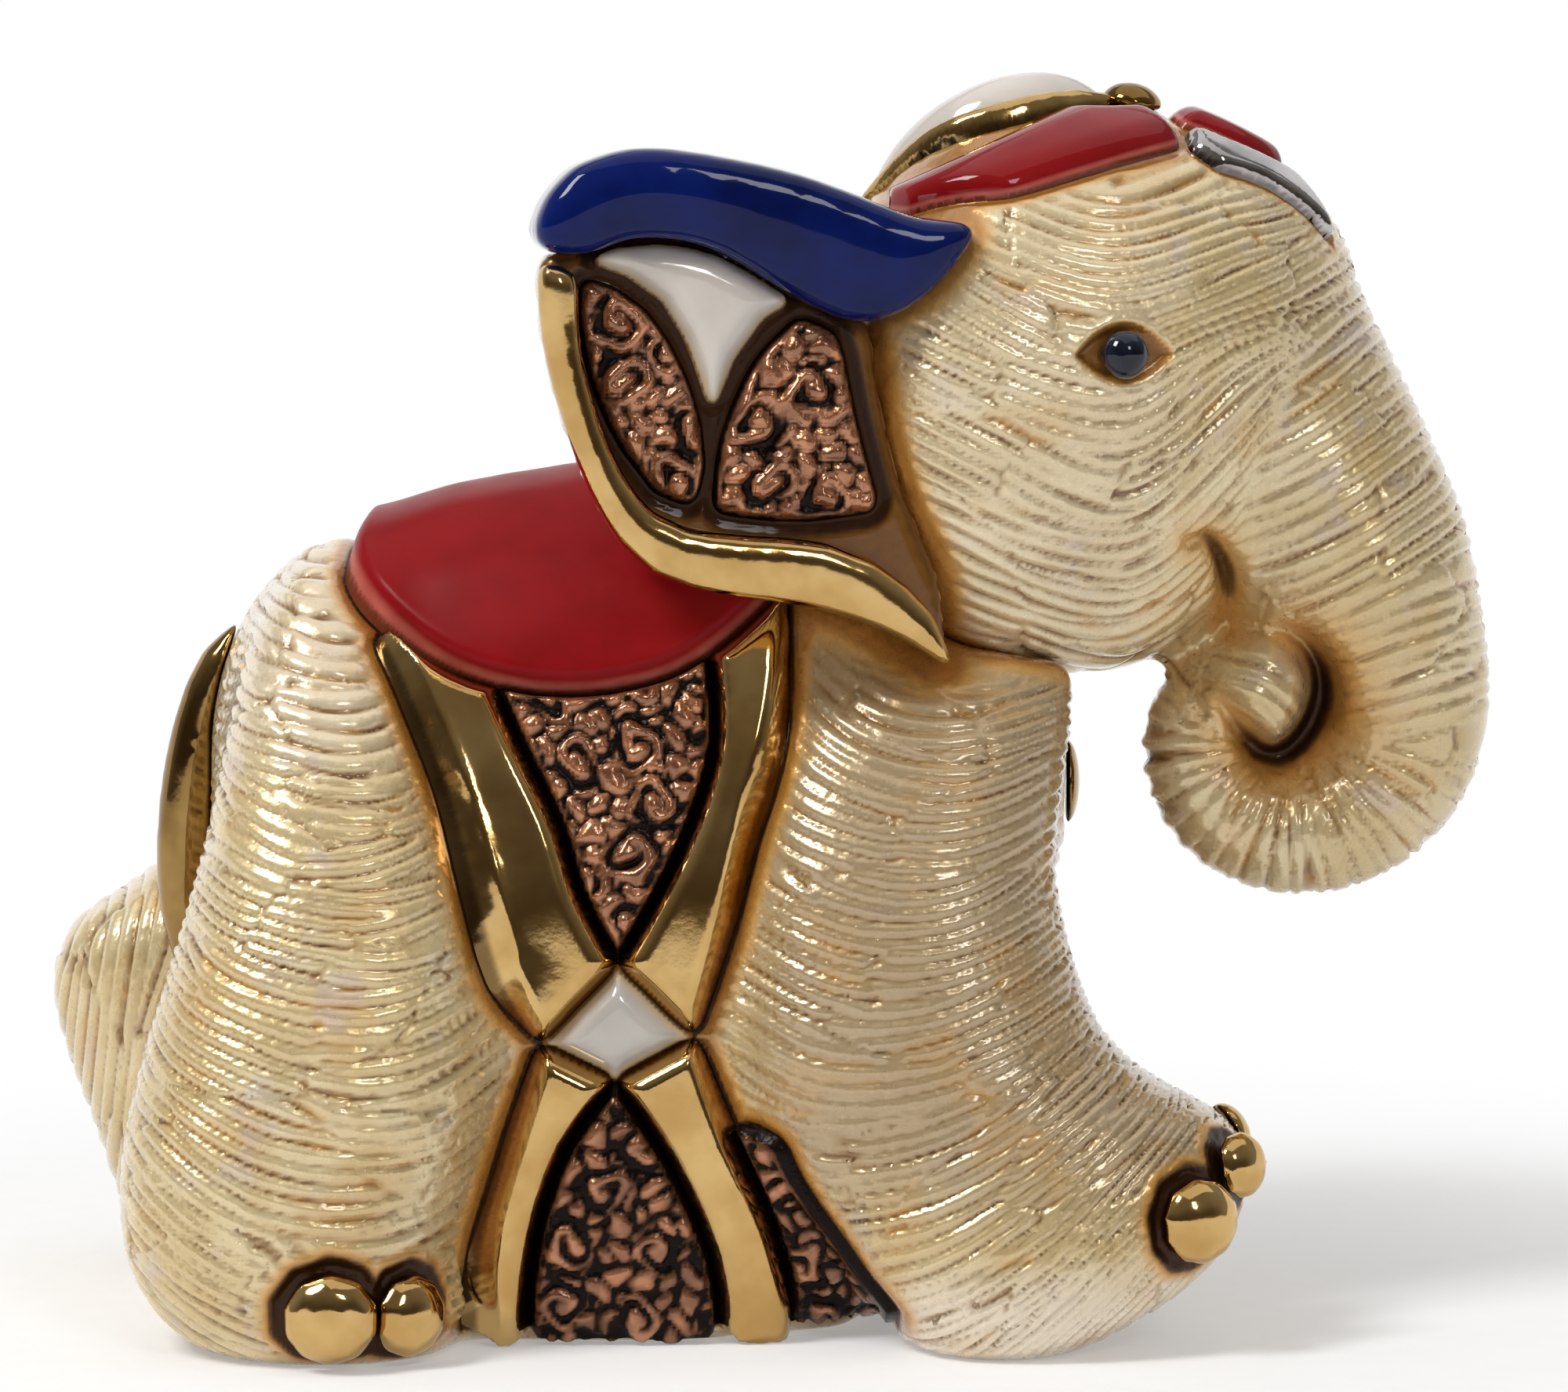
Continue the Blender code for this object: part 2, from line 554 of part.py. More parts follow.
def cap_field(name, points, glaze, thickness, side=1):
    form = prism(inset(points, SEAM / 2 / MM), "Z", CAP_CUT_HEIGHT * MM, CAP_CLEAR_TOP * MM, side)
    field = shell_field(name, form, glaze, head, thickness, solver="MANIFOLD")
    return make_room(field, knob, solver="MANIFOLD")


def bead(name, guide, side, radius, glaze, seat, flatten=1.0):
    """Ball centred on the skin nearest its guide point, less the part inside the casting."""
    wanted = Vector((guide[0], side * guide[1], guide[2])) * MM
    found, spot, normal, _ = seat.closest_point_on_mesh(wanted)
    form = bmesh.new()
    bmesh.ops.create_uvsphere(form, u_segments=BEAD_SEGMENTS, v_segments=BEAD_RINGS, radius=radius)
    bmesh.ops.scale(form, vec=(1.0, 1.0, flatten), verts=form.verts)
    turn = Vector((0, 0, 1)).rotation_difference(normal).to_matrix()
    bmesh.ops.rotate(form, cent=(0, 0, 0), matrix=turn, verts=form.verts)
    bmesh.ops.translate(form, vec=spot, verts=form.verts)
    return make_room(add_piece(name, form, glaze), seat)


def put_away(tool):
    """Moves a piece that only shapes others to the hidden cutters."""
    PARTS.objects.unlink(tool)
    CUTTERS.objects.link(tool)
    tool.hide_render = True
    tool.display_type = "WIRE"
    return tool


def oval(name, at, radii):
    """Hidden oval that is joined to a casting."""
    form = bmesh.new()
    bmesh.ops.create_uvsphere(form, u_segments=TRUNK_SIDES, v_segments=TIP_RINGS, radius=MM)
    bmesh.ops.scale(form, vec=radii, verts=form.verts)
    bmesh.ops.translate(form, vec=Vector(at) * MM, verts=form.verts)
    return put_away(add_piece(name, form, PEARL))


def hollow_core():
    """Hidden cutter for the cavity inside the torso and the vent below it."""
    centre = Vector(CAVITY_CENTRE) * MM
    form = bmesh.new()
    bmesh.ops.create_uvsphere(form, u_segments=VENT_SEGMENTS, v_segments=CAVITY_RINGS, radius=MM)
    bmesh.ops.scale(form, vec=CAVITY_RADII, verts=form.verts)
    bmesh.ops.translate(form, vec=centre, verts=form.verts)
    core = add_piece("hollow_core", form, PEARL)
    vent_form = bmesh.new()
    bmesh.ops.create_cone(vent_form, cap_ends=True, segments=VENT_SEGMENTS, radius1=VENT_RADIUS,
                          radius2=VENT_RADIUS, depth=2 * centre.z)
    bmesh.ops.translate(vent_form, vec=(centre.x, centre.y, 0.0), verts=vent_form.verts)
    vent = add_piece("vent_core", vent_form, PEARL)
    boolean(core, put_away(vent), "UNION")
    return put_away(settle(core))


def lens(back, front, half):
    """One side of a pointed oval about the midline."""
    return tuple(
        (back + (front - back) * k / LENS_STEPS, half * math.sin(math.pi * k / LENS_STEPS))
        for k in range(LENS_STEPS + 1)
    )


def ear_field(name, points, glaze, inner, outer, side, hinge, edge_round):
    """Block on the ear, from one depth to another, its edges rounded over."""
    hinge_x, _, hinge_z = EAR_HINGE
    local = [(x - hinge_x, z - hinge_z) for x, z in inset(points, SEAM / 2 / MM)]
    piece = add_piece(name, prism(local, "Y", inner, outer, side), glaze, hinge)
    if edge_round:
        soften = piece.modifiers.new("soften", "BEVEL")
        soften.width = edge_round
        soften.segments = 2
        soften.limit_method = "ANGLE"
        soften.angle_limit = math.radians(60)
        settle(piece)
    return piece


# Castings
torso = add_casting("torso", loft(torso_rings(flat_base=True)), PEARL, loft(torso_rings(flat_base=False)))
head = add_casting("head", loft(head_rings()), PEARL)
make_room(torso, head)
boolean(torso, hollow_core(), "DIFFERENCE")
settle(torso)

legs = {}
for side, side_name in SIDE_NAMES:
    hind_stations = HIND_LEG_RIGHT if side == RIGHT else HIND_LEG_LEFT
    fore_stations = FORELEG_RIGHT if side == RIGHT else FORELEG_LEFT
    hind = add_casting("hind_leg_" + side_name, loft(list(leg_rings(hind_stations, side))), PEARL)
    fore = add_casting("foreleg_" + side_name, loft(list(leg_rings(fore_stations, side))), PEARL)
    legs[side] = (make_room(hind, torso), make_room(fore, torso, head, solver="MANIFOLD"))

trunk_stations = [(x, 0.0, z, radius) for x, z, radius in TRUNK_ROOT] + list(curl_stations())
trunk = add_piece("trunk", loft(list(tube_rings(trunk_stations, TRUNK_SIDES, TRUNK_RINGS))), PEARL)
boolean(trunk, oval("trunk_tip", TIP_AT, (TIP_RADIUS,) * 3), "UNION", "MANIFOLD")
boolean(trunk, oval("trunk_web", WEB_AT, WEB_RADII), "UNION", "MANIFOLD")
make_room(trunk, head)
tail_stations = [(x, 0.0, z, radius) for x, z, radius in TAIL]
tail = add_piece("tail", loft(list(tube_rings(tail_stations, TAIL_SIDES, TAIL_RINGS))), DARK_GOLD)
make_room(tail, torso, *legs[LEFT], *legs[RIGHT])

# Saddle over the back
saddle_corners = (SADDLE_FRONT, (SADDLE_FRONT[0], SADDLE_CLEAR_TOP),
                  (SADDLE_REAR_EDGE[0][0], SADDLE_CLEAR_TOP), SADDLE_REAR_EDGE[0])
saddle_points = outline(SADDLE_LOWER_EDGE, *zip(saddle_corners, saddle_corners[1:]), SADDLE_REAR_EDGE)
saddle_form = prism(inset(saddle_points, SEAM / 2 / MM), "Y", -FLANK_REACH, FLANK_REACH)
saddle = shell_field("saddle", saddle_form, RED, torso, SADDLE_THICKNESS)
make_room(saddle, head, *legs[LEFT], *legs[RIGHT])


def saddle_edge(start, end):
    """The stretch of the saddle's lower edge between two places along X."""
    middle = [p for p in SADDLE_LOWER_EDGE if start[0] < p[0] < end[0]]
    return (start, *middle, end)


# Straps, diamond and scroll panels on each flank
flank = {}
for side, side_name in SIDE_NAMES:
    fields = (
        ("rear_upper_strap", GOLD, STRAP_THICKNESS,
         (REAR_STRAP_OUTER, (DIAMOND_LEFT, DIAMOND_TOP), backwards(REAR_STRAP_INNER),
          backwards(saddle_edge(REAR_STRAP_TOP, REAR_PANEL_TOP)))),
        ("front_upper_strap", GOLD, STRAP_THICKNESS,
         (FRONT_STRAP_INNER, (DIAMOND_TOP, DIAMOND_RIGHT), backwards(FRONT_STRAP_OUTER),
          backwards(saddle_edge(FRONT_PANEL_TOP, FRONT_STRAP_TOP)))),
        ("rear_lower_strap", GOLD, STRAP_THICKNESS,
         (REAR_LOWER_OUTER, (REAR_FOOT_OUTER, REAR_FOOT_INNER), backwards(REAR_LOWER_INNER),
          (DIAMOND_BOTTOM, DIAMOND_LEFT))),
        ("front_lower_strap", GOLD, STRAP_THICKNESS,
         (FRONT_LOWER_INNER, (FRONT_FOOT_INNER, FRONT_FOOT_OUTER), backwards(FRONT_LOWER_OUTER),
          (DIAMOND_RIGHT, DIAMOND_BOTTOM))),
        ("diamond", WHITE, DIAMOND_THICKNESS,
         ((DIAMOND_LEFT, DIAMOND_BOTTOM), (DIAMOND_BOTTOM, DIAMOND_RIGHT),
          (DIAMOND_RIGHT, DIAMOND_TOP), (DIAMOND_TOP, DIAMOND_LEFT))),
        ("upper_scroll_panel", COPPER, PANEL_THICKNESS,
         (REAR_STRAP_INNER, backwards(FRONT_STRAP_INNER),
          backwards(saddle_edge(REAR_PANEL_TOP, FRONT_PANEL_TOP)))),
        ("lower_scroll_panel", COPPER, PANEL_THICKNESS,
         (REAR_LOWER_INNER, SKIRT_ARCH, backwards(FRONT_LOWER_INNER))),
        ("front_scroll_panel", COPPER, PANEL_THICKNESS,
         (FRONT_LOWER_OUTER[1:], (FRONT_FOOT_OUTER, FRONT_SLIVER_FOOT), backwards(FRONT_SLIVER_EDGE))),
    )
    for field_name, glaze, thickness, edges in fields:
        field = side_field(field_name + "_" + side_name, outline(*edges), glaze, thickness, side)
        flank[side, field_name] = make_room(field, *legs[side])

# Ears, each with its fields, hung from the side of the head
for side, side_name in SIDE_NAMES:
    hinge = bpy.data.objects.new("ear_hinge_" + side_name, None)
    PARTS.objects.link(hinge)
    hinge.parent = STAND
    hinge.location = Vector((EAR_HINGE[0], side * EAR_HINGE[1], EAR_HINGE[2])) * MM
    hinge.rotation_euler = (0.0, 0.0, -side * math.radians(EAR_SPLAY))
    face = CLEARANCE
    slab_points = outline(EAR_SLAB_TOP, EAR_FRONT_EDGE, EAR_LOWER_EDGE)
    ear = ear_field("ear_" + side_name, slab_points, PEARL, -EAR_THICKNESS, 0.0, side, hinge, EAR_EDGE_ROUND)
    roll = ear_field("ear_blue_roll_" + side_name, outline(ROLL_UPPER_EDGE, ROLL_LOWER_EDGE), BLUE,
                     EAR_RIM_DEPTH - EAR_ROLL_DEPTH, EAR_RIM_DEPTH + CLEARANCE, side, hinge, EAR_ROLL_ROUND)
    rim_edges = (backwards(RIM_INNER_EDGE), (RIM_INNER_REAR, EAR_REAR_TOP), backwards(EAR_LOWER_EDGE),
                 (EAR_LOBE, RIM_INNER_LOBE))
    rim = ear_field("ear_gold_rim_" + side_name, outline(*rim_edges), GOLD, face,
                    face + EAR_RIM_DEPTH, side, hinge, EAR_RIM_ROUND)
    white = ear_field("ear_white_field_" + side_name,
                      outline(WHITE_TOP_EDGE, WHITE_FRONT_EDGE, WHITE_REAR_EDGE), WHITE, face,
                      face + EAR_WHITE_DEPTH, side, hinge, EAR_FIELD_ROUND)
    rear_lens = ear_field("ear_rear_scroll_" + side_name, outline(REAR_LENS_FRONT, REAR_LENS_BACK),
                          COPPER, face, face + EAR_FIELD_DEPTH, side, hinge, EAR_FIELD_ROUND)
    front_field = ear_field("ear_front_scroll_" + side_name,
                            outline(FRONT_FIELD_REAR, FRONT_FIELD_FRONT, FRONT_FIELD_FOOT), COPPER,
                            face, face + EAR_FIELD_DEPTH, side, hinge, EAR_FIELD_ROUND)
    make_room(roll, head)
    make_room(ear, head, torso, saddle, roll, flank[side, "front_upper_strap"], *legs[side])
    for field in (rim, white, rear_lens, front_field):
        make_room(field, head, roll, *legs[side], solver="MANIFOLD")

# Cap of enamel fields on the crown, drawn back round its knob
knob = bead("crown_knob", KNOB_AT, 0, KNOB_RADIUS, DARK_GOLD, head, KNOB_FLATNESS)
white_half = lens(WHITE_CAP_BACK, WHITE_CAP_FRONT, WHITE_CAP_HALF_WIDTH)
ridge_half = lens(RIDGE_BACK, RIDGE_FRONT, RIDGE_HALF_WIDTH)
mirrored_half = tuple((x, -y) for x, y in backwards(white_half))
cap_field("cap_white_panel", list(white_half[:-1] + mirrored_half[:-1]), WHITE, CAP_WHITE_THICKNESS)
for side, side_name in SIDE_NAMES:
    cap_field("cap_gold_ridge_" + side_name, list(ridge_half + backwards(white_half)), GOLD,
              CAP_RIDGE_THICKNESS, side)
    cap_field("cap_red_panel_" + side_name, outline(RED_CAP_INNER, RED_CAP_OUTER), RED,
              CAP_ENAMEL_THICKNESS, side)
    cap_field("brow_plate_" + side_name, outline(BROW_INNER, BROW_OUTER), PLATINUM, BROW_THICKNESS, side)
cap_field("forehead_red_panel", outline(FOREHEAD_BACK_EDGE, FOREHEAD_FRONT_EDGE), RED, CAP_ENAMEL_THICKNESS)

# Beads: eyes, toenails and the chest pendant
for side, side_name in SIDE_NAMES:
    hind, fore = legs[side]
    bead("eye_" + side_name, EYE_AT, side, EYE_RADIUS, EYE_GLAZE, head)
    fore_guides = RIGHT_FORE_NAILS_AT if side == RIGHT else LEFT_FORE_NAILS_AT
    for foot, leg, guides, radii in (("hind", hind, HIND_NAILS_AT, HIND_NAIL_RADII),
                                     ("fore", fore, fore_guides, FORE_NAIL_RADII)):
        nails = []
        for guide, radius in zip(guides, radii):
            name = f"{foot}_nail_{side_name}_{len(nails) + 1}"
            nail = bead(name, guide, side, radius, GOLD, leg, NAIL_FLATNESS)
            nails.append(make_room(nail, *nails))
bead("chest_pendant", PENDANT_AT, 0, PENDANT_RADIUS, DARK_GOLD, torso, PENDANT_FLATNESS)

# Stand the figure on the floor with its box centred over the origin
bpy.context.view_layer.update()
corners = [piece.matrix_world @ Vector(corner) for piece in PARTS.objects if piece.type == "MESH"
           for corner in piece.bound_box]
low = Vector(min(c[i] for c in corners) for i in range(3))
high = Vector(max(c[i] for c in corners) for i in range(3))
STAND.location = -Vector(((low.x + high.x) / 2, (low.y + high.y) / 2, low.z))
for piece in PARTS.objects:
    if piece.type == "MESH":
        piece.data.shade_smooth()
        piece.data.set_sharp_from_angle(angle=math.radians(40))
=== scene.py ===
import math

import bmesh
import bpy
import numpy as np
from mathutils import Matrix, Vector
from mathutils.bvhtree import BVHTree
from mathutils.kdtree import KDTree


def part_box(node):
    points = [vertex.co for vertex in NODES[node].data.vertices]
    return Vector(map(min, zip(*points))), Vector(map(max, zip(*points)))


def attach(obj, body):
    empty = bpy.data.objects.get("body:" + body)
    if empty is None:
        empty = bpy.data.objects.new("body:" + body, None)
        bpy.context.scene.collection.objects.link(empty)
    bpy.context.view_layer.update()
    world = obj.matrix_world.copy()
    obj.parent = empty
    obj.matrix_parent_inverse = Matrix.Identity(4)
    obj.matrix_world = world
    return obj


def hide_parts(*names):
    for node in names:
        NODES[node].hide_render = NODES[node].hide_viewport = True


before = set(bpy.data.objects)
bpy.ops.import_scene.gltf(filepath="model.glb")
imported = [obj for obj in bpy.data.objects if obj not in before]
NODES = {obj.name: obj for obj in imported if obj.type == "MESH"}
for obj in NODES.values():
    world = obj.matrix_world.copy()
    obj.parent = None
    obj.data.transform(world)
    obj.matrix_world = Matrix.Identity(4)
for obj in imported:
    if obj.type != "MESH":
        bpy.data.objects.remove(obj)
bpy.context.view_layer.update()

# Lengths are in millimetres until a mesh is written, and the photograph's side is the right side
MM = 0.001
CHANCE = np.random.default_rng(11)
SIDES = {"right": -1.0, "left": 1.0}
SIDE_VIEW, TOP_VIEW = [0, 2], [0, 1]


def both(*stems):
    """The names of the right and the left node of each pair."""
    return [stem + "_" + side for stem in stems for side in SIDES]


def side_of(name):
    """-1 for a node on the right, 1 for one on the left, 0 for one on the midline."""
    return next((sign for side, sign in SIDES.items() if "_" + side in name), 0.0)


BODY = ["torso"] + both("hind_leg", "foreleg")
HEAD = ["head", "trunk"]
EARS = both("ear")
STRAPS = both("rear_upper_strap", "front_upper_strap", "rear_lower_strap", "front_lower_strap")
UPPER_SCROLLS, LOWER_SCROLLS = both("upper_scroll_panel"), both("lower_scroll_panel")
FRONT_SCROLLS = both("front_scroll_panel")
EAR_SCROLLS = both("ear_rear_scroll", "ear_front_scroll")
CAP_RED = both("cap_red_panel") + ["forehead_red_panel"]
RIDGES = both("cap_gold_ridge")
NAILS = [name + "_" + digit for name in both("hind_nail") for digit in "12"]
NAILS += [name + "_" + digit for name in both("fore_nail") for digit in "123"]

# Mesh fineness: edge lengths of the remeshed pieces, and how far solids grow to close their clearances
SKIN_STEP = 0.3
BEAD_STEP = 0.24
BODY_STEP, FACE_STEP = 0.7, 0.5
SWELL = 0.25
WELD = 0.01

# Outlines of the fields: grid for drawing them, how far round them distances are known, and the lap
# with which a field reaches under the skin beside it
GRID = 0.1
PAD = 3.0
LAP = 0.5
LAP_SLOPE = 2.4

# Combed lines in the skin: spacing, depth, and the size of a patch of strokes
PITCH = 1.15
COMB_DEPTH = 0.78
PATCH_ALONG, PATCH_ACROSS = 13.0, 5.5
# How strokes differ: width and depth as shares, lean, and how strongly each patch was combed
STROKE_WIDTHS, STROKE_DEPTHS = (0.86, 1.16), (0.5, 1.0)
STROKE_TILT = 0.055
STROKE_KINDS = 997
PATCH_STRENGTHS = (0.72, 1.0)
# Where two patches meet: torn stroke ends, and the width of the seam that holds pits
TEAR_WIDTH, TEAR_DEPTH = 0.3, 0.3
SEAM_WIDTH = 0.45

# How the strokes sag over the haunch and the leaning foreleg
HIND_SAG, HIND_MIDDLE = 0.027, -28.0
FORE_SAG, FORE_MIDDLE, FORE_LEAN, FORE_LEVEL = 0.03, 5.0, 0.33, 15.0
# The point round which the strokes on an ear's back turn, in side view
EAR_TURN = (20.0, 66.0)

# The middle of the hollow torso, from which its outside faces away
CORE = (-11.1, 0.1, 27.0)

# The trunk's middle line in side view, which its combed rings follow, into the ball at its tip
TRUNK_LINE = ((29.2, 75.0), (33.7, 70.0), (37.5, 63.4), (40.9, 57.2), (43.7, 51.2))
CURL_CENTRE = (37.8, 43.0)
CURL_START, CURL_END = 9.5, 3.2
CURL_TURN = 238.0
CURL_TIGHTENING = 2.4
CURL_STEPS = 24
# The deep crescent between the ball and the coil, in side view
CRESCENT = ((36.6, 49.9), (38.4, 49.3), (40.0, 47.7), (40.8, 45.3), (40.2, 42.5), (38.5, 40.4),
            (36.7, 40.1), (35.1, 41.6), (33.8, 43.5), (32.6, 45.2))
CRESCENT_WIDTH = 1.3
CRESCENT_DEPTH = 0.8
# The ball and the shoulder by which it leaves the coil: middle in side view, radius, and height of the rim
# over the plane in which the curl lies
BALL_CENTRE, BALL_SIZE = (35.9, 45.3), 4.2
CURL_DOMES = ((BALL_CENTRE, BALL_SIZE, 1.9), ((33.0, 45.7), 2.5, 1.1))
CURL_PLANE = -1.7

# Eyelids and mouth in side view
LID_HALF = 3.6
LID_TOP, LID_BOTTOM = 2.35, 2.1
LID_DEPTH = 0.55
MOUTH = ((30.6, 56.1), (32.0, 56.5), (33.0, 55.5), (33.7, 53.7), (33.9, 51.8), (33.6, 49.8))
MOUTH_DEPTH = 1.2
MOUTH_WIDTH = 0.75

# Camera, fitted to the photograph: 2000 by 1776 pixels
TARGET = (1.92, 0.14, 44.36)
DISTANCE = 450.0
ELEVATION = 5.0
FOCAL_PIXELS = 7920.0
PHOTO_WIDTH = 2000.0
SENSOR = 36.0


def smooth_step(low, high, x):
    """0 at low, 1 at high, with an easy curve between."""
    t = np.clip((x - low) / (high - low), 0.0, 1.0)
    return t * t * (3.0 - 2.0 * t)


def hump(x, middle, width):
    """1 at the middle, falling away on both sides."""
    return np.exp(-((x - middle) / width) ** 2)


def points_of(mesh):
    """A mesh's vertices as rows, in millimetres."""
    flat = np.empty(len(mesh.vertices) * 3)
    mesh.vertices.foreach_get("co", flat)
    return flat.reshape(-1, 3) / MM


def tree_of(names):
    """A search tree over the solids of the named nodes, in millimetres."""
    corners, faces = [], []
    for name in names:
        mesh = NODES[name].data
        first = len(corners)
        corners += [vertex.co / MM for vertex in mesh.vertices]
        faces += [[first + index for index in face.vertices] for face in mesh.polygons]
    return BVHTree.FromPolygons(corners, faces)


def clearances(points, names, reach):
    """Distances to the nearest and second nearest of the named nodes within reach, and which is nearest."""
    first = np.full(len(points), float(reach))
    second = first.copy()
    which = np.full(len(points), -1)
    for number, name in enumerate(names):
        low, high = (np.array(corner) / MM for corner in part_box(name))
        close = np.flatnonzero(np.all((points > low - reach) & (points < high + reach), axis=1))
        tree = tree_of([name])
        found = (tree.find_nearest(point, reach)[3] for point in points[close].tolist())
        gap = np.array([reach if distance is None else distance for distance in found])
        nearer = gap < first[close] if len(close) else np.zeros(0, bool)
        second[close] = np.minimum(second[close], np.where(nearer, first[close], gap))
        first[close] = np.where(nearer, gap, first[close])
        which[close[nearer]] = number
    return first, second, which


def along_line(points, line):
    """Distance from each point in side view to a broken line, and how far along it the nearest place is."""
    best = np.full(len(points), np.inf)
    place = np.zeros(len(points))
    start = 0.0
    for a, b in zip(np.array(line[:-1]), np.array(line[1:])):
        length = np.linalg.norm(b - a)
        t = np.clip((points - a) @ (b - a) / length ** 2, 0.0, 1.0)
        gap = np.linalg.norm(points - a - t[:, None] * (b - a), axis=1)
        nearer = gap < best
        best = np.where(nearer, gap, best)
        place = np.where(nearer, start + t * length, place)
        start += length
    return best, place


def rounded(line, rounds=3):
    """A broken line with its corners cut again and again, so that it bends softly."""
    points = np.array(line)
    for turn in range(rounds):
        here, there = points[:-1], points[1:]
        cuts = np.stack([0.75 * here + 0.25 * there, 0.25 * here + 0.75 * there], axis=1)
        points = np.vstack([points[:1], cuts.reshape(-1, 2), points[-1:]])
    return points


def evaluated(mesh, kind, **settings):
    """The mesh after one modifier. The mesh that went in is removed."""
    holder = bpy.data.objects.new("holder", mesh)
    bpy.context.scene.collection.objects.link(holder)
    step = holder.modifiers.new("step", kind)
    for key, value in settings.items():
        setattr(step, key, value)
    graph = bpy.context.evaluated_depsgraph_get()
    made = bpy.data.meshes.new_from_object(holder.evaluated_get(graph))
    bpy.data.objects.remove(holder)
    bpy.data.meshes.remove(mesh)
    return made


def joined(names, swell):
    """One mesh of the named solids, each grown outwards."""
    form = bmesh.new()
    for name in names:
        form.from_mesh(NODES[name].data)
    bmesh.ops.remove_doubles(form, verts=form.verts, dist=WELD * MM)
    form.normal_update()
    moves = [vertex.normal * min(vertex.calc_shell_factor(), 1.6) * swell * MM for vertex in form.verts]
    for vertex, move in zip(form.verts, moves):
        vertex.co += move
    mesh = bpy.data.meshes.new("joined")
    form.to_mesh(mesh)
    form.free()
    return mesh


def remeshed(mesh, step):
    """The mesh as an even net of small squares."""
    return evaluated(mesh, "REMESH", mode="VOXEL", voxel_size=step * MM)


class Surface:
    """A net of squares whose points are moved in bulk."""

    def __init__(self, mesh):
        self.mesh = mesh
        self.points = points_of(mesh)
        flat = np.empty(len(mesh.edges) * 2, np.int64)
        mesh.edges.foreach_get("vertices", flat)
        self.ends = flat.reshape(-1, 2)
        self.count = np.bincount(flat, minlength=len(self.points))
        corners = np.empty(len(mesh.loops), np.int64)
        mesh.loops.foreach_get("vertex_index", corners)
        self.squares = corners.reshape(-1, 4)

    def spread(self, values):
        """The mean of a value over each point's neighbours."""
        a, b = self.ends.T
        size = len(self.points)
        total = np.bincount(a, values[b], size) + np.bincount(b, values[a], size)
        return total / np.maximum(self.count, 1)

    def smooth(self, rounds, weight=0.5):
        """Moves each point towards the middle of its neighbours."""
        for turn in range(rounds):
            middle = np.stack([self.spread(column) for column in self.points.T], axis=1)
            share = weight if np.isscalar(weight) else weight[:, None]
            self.points += share * (middle - self.points)
        return self

    def blur(self, values, rounds):
        """A value smoothed over the surface."""
        for turn in range(rounds):
            values = 0.5 * values + 0.5 * self.spread(values)
        return values

    def write(self):
        """Puts the points into the mesh."""
        self.mesh.vertices.foreach_set("co", (self.points * MM).ravel())
        self.mesh.update()

    def normals(self):
        """The outward direction at each point."""
        self.write()
        flat = np.empty(len(self.points) * 3)
        self.mesh.vertices.foreach_get("normal", flat)
        return flat.reshape(-1, 3)

    def ways_out(self, rounds):
        """The outward direction at each point, evened out over its neighbours."""
        mean = np.stack([self.blur(column, rounds) for column in self.normals().T], axis=1)
        return mean / np.maximum(np.linalg.norm(mean, axis=1), 1e-6)[:, None]

    def part(self, name, chosen, points, layers):
        """A new mesh of the chosen squares, with the given points and the values kept on them."""
        used, corners = np.unique(self.squares[chosen], return_inverse=True)
        made = bpy.data.meshes.new(name)
        made.from_pydata((points[used] * MM).tolist(), [], corners.reshape(-1, 4).tolist())
        made.update()
        store(made, {key: value[used] for key, value in layers.items()})
        return made


def store(mesh, layers):
    """Keeps values on a mesh's points for the materials."""
    for name, values in layers.items():
        layer = mesh.attributes.new(name, "FLOAT", "POINT")
        layer.data.foreach_set("value", np.asarray(values, np.float32))


